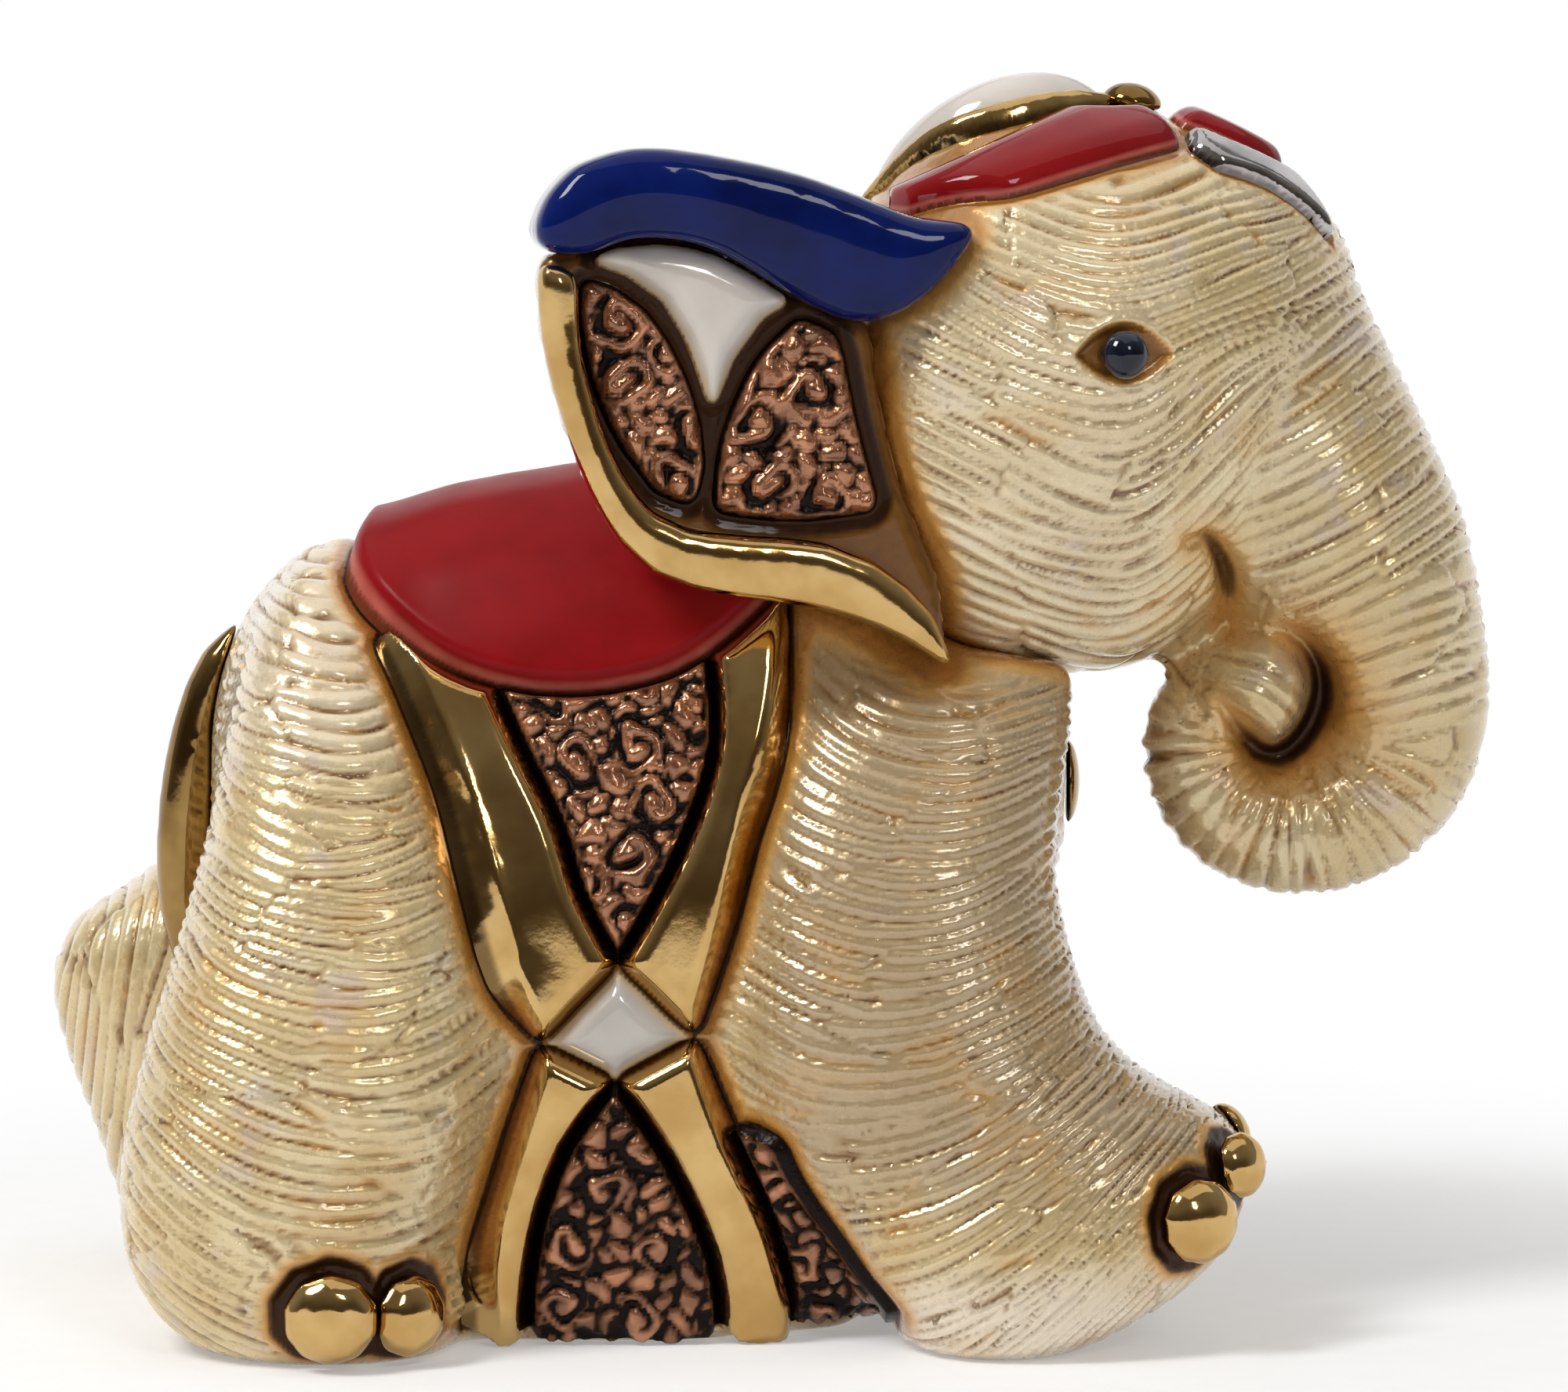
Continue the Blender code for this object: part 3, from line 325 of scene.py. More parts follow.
class Outline:
    """The outline of a node from the side or from above, with its corners eased."""

    def __init__(self, name, view, ease):
        mesh = NODES[name].data
        flat = points_of(mesh)[:, view]
        self.view = view
        self.low = flat.min(axis=0) - PAD
        size = np.ceil((flat.max(axis=0) + PAD - self.low) / GRID).astype(int) + 2
        mask = np.zeros(size, bool)
        for face in mesh.polygons:
            ring = flat[list(face.vertices)]
            for a, b in zip(ring[1:-1], ring[2:]):
                self.fill(mask, ring[0], a, b)
        across = np.fft.fftfreq(size[0])[:, None] ** 2 + np.fft.rfftfreq(size[1])[None, :] ** 2
        blur = np.exp(-2.0 * (math.pi * ease / GRID) ** 2 * across)
        self.soft = np.fft.irfft2(np.fft.rfft2(mask.astype(float)) * blur, s=mask.shape)
        self.edge = self.edge_tree()

    def fill(self, mask, a, b, c):
        """Marks the grid places inside a triangle."""
        corners = np.array((a, b, c))
        first = np.floor((corners.min(axis=0) - self.low) / GRID).astype(int)
        last = np.ceil((corners.max(axis=0) - self.low) / GRID).astype(int) + 1
        u = self.low[0] + GRID * np.arange(first[0], last[0])[:, None]
        v = self.low[1] + GRID * np.arange(first[1], last[1])[None, :]
        sides = ((a, b), (b, c), (c, a))
        turns = [(q[0] - p[0]) * (v - p[1]) - (q[1] - p[1]) * (u - p[0]) for p, q in sides]
        inside = np.logical_and.reduce([turn >= 0 for turn in turns])
        inside |= np.logical_and.reduce([turn <= 0 for turn in turns])
        mask[first[0]:last[0], first[1]:last[1]] |= inside

    def edge_tree(self):
        """A search tree of the places where the soft mask passes one half."""
        spots = []
        for axis in (0, 1):
            here = self.soft[:-1, :] if axis == 0 else self.soft[:, :-1]
            there = self.soft[1:, :] if axis == 0 else self.soft[:, 1:]
            found = np.argwhere((here > 0.5) != (there > 0.5)).astype(float)
            pick = tuple(found.astype(int).T)
            found[:, axis] += (0.5 - here[pick]) / (there[pick] - here[pick])
            spots.append(self.low + GRID * found)
        spots = np.vstack(spots)
        tree = KDTree(len(spots))
        for number, (u, v) in enumerate(spots.tolist()):
            tree.insert((u, v, 0.0), number)
        tree.balance()
        return tree

    def depth(self, points, allowed):
        """How far each allowed point lies inside the outline, less than 0 outside it."""
        result = np.full(len(points), -PAD)
        place = (points[:, self.view] - self.low) / GRID
        near = allowed & np.all((place > 0) & (place < np.array(self.soft.shape) - 2), axis=1)
        close = np.flatnonzero(near)
        cell = place[close].astype(int)
        i, j = cell.T
        s, t = (place[close] - cell).T
        value = (1 - s) * ((1 - t) * self.soft[i, j] + t * self.soft[i, j + 1])
        value += s * ((1 - t) * self.soft[i + 1, j] + t * self.soft[i + 1, j + 1])
        flat = points[close][:, self.view].tolist()
        gap = np.array([self.edge.find((u, v, 0.0))[2] for u, v in flat])
        result[close] = np.where(value > 0.5, gap, -np.minimum(gap, PAD))
        return result


def combed(points, across, pitch):
    """Height of hand-combed strokes, 1 on ridges and 0 in grooves, and the seams between their patches.

    Across is a measure that grows across the strokes.
    """
    number = max(6, int(len(points) * SKIN_STEP ** 2 / (PATCH_ALONG * PATCH_ACROSS)))
    picks = CHANCE.choice(len(points), number, replace=False)
    first = np.full(len(points), np.inf)
    second = first.copy()
    owner = np.zeros(len(points), np.int64)
    runner = owner.copy()
    spread = (points / PATCH_ALONG).astype(np.float32)
    level = (across / PATCH_ACROSS).astype(np.float32)
    for index, pick in enumerate(picks):
        gap = np.sum((spread - spread[pick]) ** 2, axis=1) + (level - level[pick]) ** 2
        nearer = gap < first
        between = ~nearer & (gap < second)
        runner = np.where(nearer, owner, np.where(between, index, runner))
        second = np.where(nearer, first, np.where(between, gap, second))
        owner = np.where(nearer, index, owner)
        first = np.where(nearer, gap, first)
    widths = pitch * CHANCE.uniform(*STROKE_WIDTHS, number)
    starts = CHANCE.uniform(0.0, 1.0, number)
    tilts = CHANCE.normal(0.0, STROKE_TILT, (number, 3)) / pitch
    strengths = CHANCE.uniform(*PATCH_STRENGTHS, number)
    depths = CHANCE.uniform(*STROKE_DEPTHS, STROKE_KINDS)
    sway = 0.16 * np.sin(0.31 * points[:, 0] + 0.17 * points[:, 1] + 0.9)
    sway += 0.12 * np.sin(0.42 * points[:, 1] - 0.27 * points[:, 0] + 0.2 * points[:, 2] + 2.2)

    def height(cells):
        turn = (across + sway - across[picks[cells]]) / widths[cells] + starts[cells]
        turn += np.sum((points - points[picks[cells]]) * tilts[cells], axis=1)
        ridge = np.abs(np.sin(math.pi * turn)) ** 0.62
        groove = np.round(turn).astype(np.int64)
        deep = strengths[cells] * depths[(groove * 37 + cells * 11) % len(depths)]
        deep *= 0.8 + 0.2 * np.sin(0.55 * points[:, 0] + 0.4 * points[:, 1] + 2.1 * groove)
        return 1.0 - deep * (1.0 - ridge)

    seam = (np.sqrt(second) - np.sqrt(first)) * PATCH_ACROSS
    share = 0.5 * np.exp(-seam / 0.25)
    ragged = smooth_step(0.1, 0.9, np.sin(1.9 * across + 0.8 * points[:, 0] + owner))
    torn = hump(seam, 0.0, TEAR_WIDTH) * ragged
    strokes = (1.0 - share) * height(owner) + share * height(runner) - TEAR_DEPTH * torn
    return strokes, np.exp(-seam / SEAM_WIDTH)


class Wire:
    """A socket in a material's node tree. Arithmetic on it makes Math nodes."""

    def __init__(self, tree, socket=None):
        self.tree = tree
        self.socket = socket

    def node(self, kind, settings=None, values=None, out=0):
        """A node of any kind, with its settings and socket values, and one of its outputs."""
        made = self.tree.nodes.new(kind)
        for key, value in (settings or {}).items():
            setattr(made, key, value)
        for key, value in (values or {}).items():
            if isinstance(value, Wire):
                self.tree.links.new(value.socket, made.inputs[key])
            else:
                made.inputs[key].default_value = value
        return Wire(self.tree, made.outputs[out])

    def math(self, operation, *values):
        """A Math node on wires and numbers."""
        return self.node("ShaderNodeMath", {"operation": operation}, dict(enumerate(values)))

    def __add__(self, other):
        return self.math("ADD", self, other)

    def __radd__(self, other):
        return self.math("ADD", other, self)

    def __sub__(self, other):
        return self.math("SUBTRACT", self, other)

    def __rsub__(self, other):
        return self.math("SUBTRACT", other, self)

    def __mul__(self, other):
        return self.math("MULTIPLY", self, other)

    def __rmul__(self, other):
        return self.math("MULTIPLY", other, self)

    def value(self, name):
        """A value kept on the points of the mesh."""
        return self.node("ShaderNodeAttribute", {"attribute_name": name}, out="Fac")

    def noise(self, size, detail=3.0, roughness=0.55):
        """Noise with features of a size in millimetres."""
        place = self.node("ShaderNodeTexCoord", out="Object")
        values = {"Vector": place, "Scale": 1.0 / (size * MM), "Detail": detail, "Roughness": roughness}
        return self.node("ShaderNodeTexNoise", None, values, out="Fac")

    def rise(self, low, high):
        """0 at low, 1 at high, with an easy curve between."""
        settings = {"interpolation_type": "SMOOTHSTEP"}
        return self.node("ShaderNodeMapRange", settings, {"Value": self, "From Min": low, "From Max": high})

    def blend(self, a, b):
        """Colour a where this is 0 and colour b where it is 1."""
        settings = {"data_type": "RGBA", "clamp_factor": True}
        return self.node("ShaderNodeMix", settings, {0: self, 6: a, 7: b}, out=2)


def colour(red, green, blue):
    """A screen colour of 0 to 255 as the linear colour that the shader takes."""
    def linear(level):
        level = level / 255.0
        return level / 12.92 if level <= 0.04045 else ((level + 0.055) / 1.055) ** 2.4
    return (linear(red), linear(green), linear(blue), 1.0)


def finish(name, paint, **constants):
    """A material: paint gives the wires of its varying inputs, and constants go on the shader's sockets."""
    made = bpy.data.materials.new(name)
    made.use_nodes = True
    shader = made.node_tree.nodes["Principled BSDF"]
    for key, value in constants.items():
        shader.inputs[key.replace("_", " ").title().replace("Ior", "IOR")].default_value = value
    start = Wire(made.node_tree)
    for key, wire in paint(start).items():
        if key == "Height":
            values = {"Height": wire, "Strength": 1.0, "Distance": MM}
            wire = start.node("ShaderNodeBump", None, values)
            key = "Normal"
        made.node_tree.links.new(wire.socket, shader.inputs[key])
    return made


CREAM, PALE_CREAM = colour(214, 190, 138), colour(230, 211, 168)
SAND, BROWN = colour(168, 134, 84), colour(118, 80, 40)
OCHRE, AMBER = colour(212, 158, 72), colour(158, 98, 32)
UMBER = colour(58, 34, 16)
LAVENDER, PAINTED_SHADE_KHAKI = colour(206, 190, 190), colour(170, 146, 112)
PAINTED_LIGHT_CREAM = colour(240, 228, 210)
COPPER_BROWN, COPPER_PINK, SOOT = colour(138, 90, 60), colour(196, 132, 92), colour(20, 12, 8)
NIGHT, NIGHT_BLUE = colour(6, 9, 18), colour(16, 26, 46)


def pearl_paint(start):
    """Cream pearl glaze, with brown in the combed grooves, partly pooled glaze and partly painted shade,
    ochre pooled in the recesses, and painted light and shade by region.
    """
    groove, stain, dark = start.value("groove"), start.value("stain"), start.value("dark")
    seam, painted_shade_and_light = start.value("seam"), start.value("painted_shade_and_light")
    clouds = start.noise(7.0, 2.0)
    grain = start.noise(0.7, 2.0, 0.5)
    knobs = start.noise(1.5, 1.0)
    base = clouds.rise(0.35, 0.7).blend(CREAM, PALE_CREAM)
    base = (start.noise(4.0, 2.0).rise(0.55, 0.75) * 0.5).blend(base, LAVENDER)
    # Painted shade in khaki and painted light in pale cream, by region
    base = (painted_shade_and_light * 0.8).blend(base, PAINTED_SHADE_KHAKI)
    base = ((0.0 - painted_shade_and_light) * 0.8).blend(base, PAINTED_LIGHT_CREAM)
    # Sand and brown in the combed grooves: partly glaze pooled there, partly painted shade
    base = (groove.rise(0.12, 0.5) * (0.6 + 0.6 * clouds)).blend(base, SAND)
    base = (groove.rise(0.3, 0.75) * (0.5 + 0.8 * grain)).blend(base, BROWN)
    warm = start.noise(6.0, 2.0).rise(0.5, 0.66) * (0.25 + 0.75 * groove.rise(0.1, 0.6))
    base = (warm * 0.7).blend(base, OCHRE)
    pits = seam.rise(0.6, 0.95) * start.noise(1.1, 2.0).rise(0.66, 0.74)
    base = (pits * 0.8).blend(base, BROWN)
    base = stain.rise(0.0, 1.0).blend(base, OCHRE)
    base = (stain.rise(0.6, 1.0) * 0.75).blend(base, AMBER)
    base = dark.rise(0.1, 0.9).blend(base, UMBER)
    rough = 0.2 + 0.16 * grain + 0.12 * groove + 0.3 * dark
    metal = 0.34 + 0.62 * dark.rise(0.1, 0.7)
    coat = 0.95 - 0.8 * dark
    bumps = 0.05 * grain + 0.16 * knobs - 0.15 * pits
    return {"Base Color": base, "Roughness": rough, "Metallic": metal, "Coat Weight": coat, "Height": bumps}


def gold_paint(bright, deep):
    """Metal lustre in two shades, darker along its edge."""
    def paint(start):
        edge = start.value("edge")
        base = start.noise(5.0, 3.0).rise(0.3, 0.7).blend(bright, deep)
        base = ((1.0 - edge.rise(0.0, 0.22)) * 0.7).blend(base, UMBER)
        rough = 0.05 + 0.1 * start.noise(2.0, 4.0)
        return {"Base Color": base, "Roughness": rough, "Height": 0.012 * start.noise(1.4, 3.0)}
    return paint


def enamel_paint(body, deep, pale, rim, rough, wear=0.6):
    """Pooled enamel in two shades, thin and pale towards its edge, with a line of another colour there."""
    def paint(start):
        edge = start.value("edge")
        base = start.noise(6.0, 3.0).rise(0.3, 0.75).blend(body, deep)
        worn = 0.25 + 0.9 * start.noise(2.2, 3.0)
        base = ((1.0 - edge.rise(0.15, wear)) * worn).blend(base, pale)
        base = (1.0 - edge.rise(0.0, 0.15)).blend(base, rim)
        speckle = start.noise(3.0, 3.0)
        return {"Base Color": base, "Roughness": rough + 0.1 * speckle, "Height": 0.02 * speckle}
    return paint


def scroll_paint(start):
    """Copper-brown relief with soot in its recesses."""
    relief, edge = start.value("relief"), start.value("edge")
    grain = start.noise(0.7, 4.0)
    base = start.noise(2.0, 2.0).rise(0.35, 0.7).blend(COPPER_BROWN, COPPER_PINK)
    base = ((1.0 - relief.rise(0.15, 0.7)) * (0.8 + 0.5 * grain)).blend(base, SOOT)
    base = ((1.0 - edge.rise(0.0, 0.25)) * 0.9).blend(base, SOOT)
    metal = 0.3 + 0.5 * relief
    coat = relief.rise(0.3, 0.7)
    rough = 0.14 + 0.2 * grain
    bumps = 0.09 * grain
    return {"Base Color": base, "Metallic": metal, "Roughness": rough, "Coat Weight": coat, "Height": bumps}


def eye_paint(start):
    """Nearly black glaze with a tinge of blue."""
    clouds = start.noise(1.5, 2.0)
    base = clouds.rise(0.3, 0.7).blend(NIGHT, NIGHT_BLUE)
    return {"Base Color": base, "Roughness": 0.03 + 0.04 * clouds}


PEARL = finish("pearl_glaze", pearl_paint, coat_roughness=0.08, ior=1.5)
GOLD = finish("gold_lustre", gold_paint(colour(212, 178, 118), colour(190, 152, 92)), metallic=1.0)
DARK_GOLD = finish("dark_gold_lustre", gold_paint(colour(164, 132, 80), colour(132, 102, 56)), metallic=1.0)
PLATINUM = finish("platinum_lustre", gold_paint(colour(196, 192, 190), colour(150, 146, 146)), metallic=1.0)
RED_COLOURS = (colour(138, 18, 22), colour(124, 13, 17), colour(196, 108, 94), colour(110, 52, 30))
SADDLE_RED = finish("saddle_enamel", enamel_paint(*RED_COLOURS, 0.26), ior=1.18)
RED_GLOSS = {"ior": 1.1, "coat_weight": 1.0, "coat_ior": 1.28, "coat_roughness": 0.04}
RED = finish("red_enamel", enamel_paint(*RED_COLOURS, 0.1, 0.35), **RED_GLOSS)
BLUE_COLOURS = (colour(8, 27, 94), colour(5, 16, 66), colour(84, 110, 142), colour(156, 136, 96))
BLUE_GLOSS = {"ior": 1.1, "coat_weight": 1.0, "coat_ior": 1.27, "coat_roughness": 0.03}
BLUE = finish("blue_enamel", enamel_paint(*BLUE_COLOURS, 0.08), **BLUE_GLOSS)
WHITE_COLOURS = (colour(214, 206, 196), colour(200, 192, 184), colour(222, 198, 156), colour(150, 108, 58))
WHITE_GLOSS = {"coat_weight": 1.0, "coat_roughness": 0.05}
WHITE = finish("white_enamel", enamel_paint(*WHITE_COLOURS, 0.1), **WHITE_GLOSS)
# The diamonds' white enamel as a greyer copy: painted shade
SHADED_WHITE_COLOURS = (colour(192, 185, 177), colour(178, 171, 164)) + WHITE_COLOURS[2:]
SHADED_WHITE = finish("white_enamel_painted_shade", enamel_paint(*SHADED_WHITE_COLOURS, 0.1), **WHITE_GLOSS)
COPPER = finish("copper_scroll", scroll_paint, ior=1.25, coat_roughness=0.05)
EYE = finish("eye_glaze", eye_paint, ior=1.2, coat_ior=1.4, coat_weight=1.0, coat_roughness=0.02)


def place(name, mesh, material, slot, nodes):
    """Puts a finished mesh in the scene as the piece that stands for some nodes."""
    mesh.materials.clear()
    mesh.materials.append(material)
    mesh.shade_smooth()
    piece = bpy.data.objects.new(name, mesh)
    bpy.context.scene.collection.objects.link(piece)
    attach(piece, "root")
    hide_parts(*nodes)


def loops_of(sides):
    """Open edges sorted into the loops that they form."""
    group = {}

    def root(a):
        while group.setdefault(a, a) != a:
            group[a] = group[group[a]]
            a = group[a]
        return a

    for a, b in sides:
        group[root(a)] = root(b)
    loops = {}
    for a, b in sides:
        loops.setdefault(root(a), []).append((a, b))
    return loops.values()


def divided(surface, names, layers):
    """Splits a skin into one closed mesh for each casting, at the places where another one comes nearer."""
    owner = clearances(surface.points, names, 8.0)[2]
    normals = surface.normals()
    square_owner = owner[surface.squares[:, 0]]
    pieces = {}
    for number, name in enumerate(names):
        used, corners = np.unique(surface.squares[square_owner == number], return_inverse=True)
        corners = corners.reshape(-1, 4)
        sides = np.stack([corners, np.roll(corners, -1, axis=1)], axis=2).reshape(-1, 2)
        keys = np.sort(sides, axis=1) @ np.array((len(used), 1))
        first, counts = np.unique(keys, return_index=True, return_counts=True)[1:]
        points, outs = surface.points[used], normals[used]
        kept = {key: values[used] for key, values in layers.items()}
        faces = corners.tolist()
        for loop in loops_of(sides[first[counts == 1]].tolist()):
            hub = len(points)
            points = np.vstack([points, points[[a for a, b in loop]].mean(axis=0)])
            outs = np.vstack([outs, [0.0, 0.0, 1.0]])
            kept = {key: np.append(values, 0.0) for key, values in kept.items()}
            faces += [[b, a, hub] for a, b in loop]
        made = bpy.data.meshes.new(name)
        made.from_pydata((points * MM).tolist(), [], faces)
        made.update()
        store(made, kept)
        made.shade_smooth()
        made.normals_split_custom_set_from_vertices(outs.tolist())
        pieces[name] = made
    return pieces


def skin(names, step, even, ease):
    """The castings grown into one smooth skin, with soft joins where they meet."""
    rough = Surface(remeshed(joined(names, SWELL), step))
    second = clearances(rough.points, names, 6.0)[1]
    rough.smooth(ease, 0.5 * smooth_step(5.0, 1.0, second)).smooth(even)
    rough.write()
    return Surface(remeshed(rough.mesh, SKIN_STEP)).smooth(4)


def hollows(surface, rounds):
    """How far the surface lies in a hollow of its own form."""
    shape = surface.points.copy()
    ways = surface.normals()
    surface.smooth(rounds)
    depth = np.sum((surface.points - shape) * ways, axis=1)
    surface.points = shape
    return depth


# Scroll relief: height, gaps between scrolls and between pebbles, and how far their sizes vary
SCROLL_HEIGHT = 0.85
SCROLL_GAP, PEBBLE_GAP = 3.9, 1.25
SCROLL_TRIES = 1500
SCROLL_SIZES, SCROLL_PITCHES = (1.5, 2.0), (1.15, 1.4)
PEBBLE_SHAPES = (0.75, 1.3)


def scattered(low, high, gap, chance):
    """Places at random in a box, none nearer to another than the gap."""
    kept = []
    for attempt in chance.uniform(low, high, (SCROLL_TRIES, 2)):
        if all(math.dist(attempt, other) > gap for other in kept):
            kept.append(attempt)
    return kept


def scrollwork(flat):
    """Relief of scrolls, each a spiral of its own size and turn, with rounded pebbles between them."""
    low, high = flat.min(axis=0) - PEBBLE_GAP, flat.max(axis=0) + PEBBLE_GAP
    chance = np.random.default_rng(int(abs(low[0]) * 100) + 5)
    u, v = flat.T
    flat = flat + 0.28 * np.stack([np.sin(1.9 * v + 0.7 * u), np.sin(2.1 * u - 0.6 * v)], axis=1)
    first = np.full(len(flat), np.inf)
    second = first.copy()
    for pebble in scattered(low, high, PEBBLE_GAP, chance):
        stretch = chance.uniform(*PEBBLE_SHAPES)
        gap = np.hypot((flat[:, 0] - pebble[0]) * stretch, (flat[:, 1] - pebble[1]) / stretch)
        second = np.minimum(second, np.maximum(first, gap))
        first = np.minimum(first, gap)
    relief = 0.85 * smooth_step(0.1, 0.6, second - first) ** 0.7
    best = np.full(len(flat), np.inf)
    for centre in scattered(low, high, SCROLL_GAP, chance):
        offset = flat - centre
        gap = np.hypot(offset[:, 0], offset[:, 1])
        hand = 1.0 if chance.random() > 0.5 else -1.0
        size = chance.uniform(*SCROLL_SIZES)
        pitch = chance.uniform(*SCROLL_PITCHES)
        angle = np.arctan2(offset[:, 1], offset[:, 0]) * hand + chance.uniform(0.0, 6.28)
        coil = smooth_step(-0.7, 0.6, np.cos(2.0 * math.pi * (gap / pitch - angle / (2.0 * math.pi))))
        coil = np.maximum(coil, smooth_step(0.6, 0.2, gap)) * smooth_step(size + 0.1, size - 0.25, gap)
        nearer = gap < best
        relief = np.where(nearer & (gap < size + 0.15), coil, relief)
        best = np.where(nearer, gap, best)
    return relief


def field(name, base, outs, depth, allowed, material, slot, height, bevel, relief=0.0):
    """A raised field of enamel or lustre: domed inside its outline, with its edge tucked under the skin."""
    t = np.clip(depth / bevel, 0.0, 1.0)
    lift = np.where(depth < 0.0, LAP_SLOPE * depth, height * (1.0 - (1.0 - t) ** 2.3))
    layers = {"edge": np.maximum(depth, 0.0)}
    chosen = (allowed & (depth > -LAP))[base.squares].all(axis=1)
    if relief:
        scrolls = np.zeros(len(depth))
        inside = depth > -LAP
        scrolls[inside] = scrollwork(base.points[inside][:, SIDE_VIEW])
        rim = 0.55 * smooth_step(0.05, 0.2, depth) * smooth_step(0.55, 0.4, depth)
        layers["relief"] = relief * base.blur(np.maximum(rim, scrolls * smooth_step(0.3, 0.6, depth)), 1)
        lift = lift + (SCROLL_HEIGHT * layers["relief"] - 0.4) * smooth_step(0.0, 0.4, depth)
    points = base.points + outs * lift[:, None]
    points[:, 2] = np.maximum(points[:, 2], 0.0)
    mesh = base.part(name, chosen, points, layers)
    place("dressed_" + name, mesh, material, slot, [name])


def bead(name, material, slot, rounds, swell=0.05, step=BEAD_STEP, reach=1.0):
    """A piece that stands by itself: its solid with facets taken out, and less reach forward if asked."""
    surface = Surface(remeshed(joined([name], swell), step)).smooth(rounds)
    back = surface.points[:, 0].min()
    surface.points[:, 0] = back + reach * (surface.points[:, 0] - back)
    found = (CASTINGS.find_nearest(point)[3] for point in surface.points.tolist())
    surface.write()
    store(surface.mesh, {"edge": np.maximum(np.array(list(found)) - 0.3, 0.0)})
    place("dressed_" + name, surface.mesh, material, slot, [name])


# Body: one skin over the torso and legs, with fields of enamel and lustre on it
GOLD_FIELD = (GOLD, "gold_lustre")
WHITE_FIELD = (WHITE, "white_enamel")
SCROLL_FIELD = (COPPER, "copper_scroll")
RED_FIELD = (RED, "red_enamel")

# Each field on the body: node, finish, ease of its corners, growth, height, width of its rounded edge, and
# how strong its relief is
BODY_FIELDS = [("saddle", (SADDLE_RED, "red_enamel"), 1.0, 0.0, 1.8, 1.3, 0.0)]
BODY_FIELDS += [(name, GOLD_FIELD, 0.4, 0.2, 1.8, 1.5, 0.0) for name in STRAPS]
BODY_FIELDS += [(name, (SHADED_WHITE, "white_enamel"), 0.2, 0.1, 1.4, 1.6, 0.0) for name in both("diamond")]
BODY_FIELDS += [(name, SCROLL_FIELD, 0.25, 0.15, 1.1, 0.6, 1.0) for name in UPPER_SCROLLS]
# The weaker relief on the lower and front panels also leaves more soot on them; on the lower panels this is
# painted shade
BODY_FIELDS += [(name, SCROLL_FIELD, 0.25, 0.15, 1.1, 0.6, 0.72) for name in LOWER_SCROLLS]
BODY_FIELDS += [(name, SCROLL_FIELD, 0.25, 0.9, 0.7, 0.6, 0.72) for name in FRONT_SCROLLS]
# The dark line that each field keeps clear of the fields before it, and the height of the hem
FIELD_GAP = 0.28
HEM = 3.0

body = skin(BODY, BODY_STEP, 22, 14)
x, y, z = body.points.T
outs = body.ways_out(6)
outside = np.sum(outs * (body.points - CORE), axis=1) > 0.0
underneath = (z < 1.0) & (outs[:, 2] < -0.6)
# Below the hem the fields go straight down to the floor
above_hem = np.stack([x, y, np.maximum(z, HEM)], axis=1)
union = np.full(len(x), -PAD)
for name, look, ease, growth, height, bevel, relief in BODY_FIELDS:
    side = side_of(name)
    allowed = outside & ~underneath & (side * y > 4.0 if side else z > 40.0)
    depth = body.blur(Outline(name, SIDE_VIEW, ease).depth(above_hem, allowed), 1) + growth
    depth = np.minimum(depth, -FIELD_GAP - union)
    union = np.maximum(union, depth)
    if name in FRONT_SCROLLS:
        height = height * smooth_step(0.4, 0.95, np.abs(outs[:, 1]))
    field(name, body, outs, depth, allowed, *look, height, bevel, relief)

to_bead = clearances(body.points, NAILS + ["chest_pendant"], 3.0)[0]
to_tail = clearances(body.points, ["tail"], 3.0)[0]
to_head = clearances(body.points, HEAD + EARS, 5.0)[0]
dip = hollows(body, 40)
# The strokes sag like garlands across the haunch and the foreleg, and run upright on the far heel
hind = z - HIND_SAG * (x - HIND_MIDDLE) ** 2
fore_low = FORE_MIDDLE + FORE_LEAN * (z - FORE_LEVEL)
fore = z - FORE_SAG * (x - fore_low) ** 2
across = hind + (fore - hind) * smooth_step(-17.0, -5.0, x)
behind = smooth_step(-33.0, -37.0, x) * smooth_step(-1.0, 3.0, y)
across = across + (0.25 * z - 1.1 * x - across) * behind
height, seam = combed(body.points, across, PITCH)
calm = smooth_step(-0.9, -2.0, union) * smooth_step(0.8, 2.2, to_bead) * smooth_step(1.5, 4.0, to_head)
calm = calm * smooth_step(0.0, 1.2, z) * smooth_step(0.3, 1.2, to_tail)
groove = (1.0 - height) * calm
channel = 0.5 * hump(union, -0.2, 0.45) + 0.22 * hump(union, -1.0, 0.8)
ring = 0.4 * hump(to_bead, 0.4, 0.5)
hidden = 0.4 * smooth_step(0.2, 0.8, union)
body.points -= outs * (COMB_DEPTH * groove + channel + ring + hidden)[:, None]
body.points[:, 2] = np.maximum(body.points[:, 2], 0.0)
stain = smooth_step(-2.3, -0.7, union) + 0.9 * smooth_step(0.1, 0.6, dip) + smooth_step(4.0, 1.0, to_head)
stain = np.clip(stain + 0.8 * smooth_step(2.4, 1.2, to_bead), 0.0, 1.0)
dark = np.maximum(smooth_step(-0.62, -0.3, union), 0.85 * smooth_step(1.5, 0.9, to_bead))
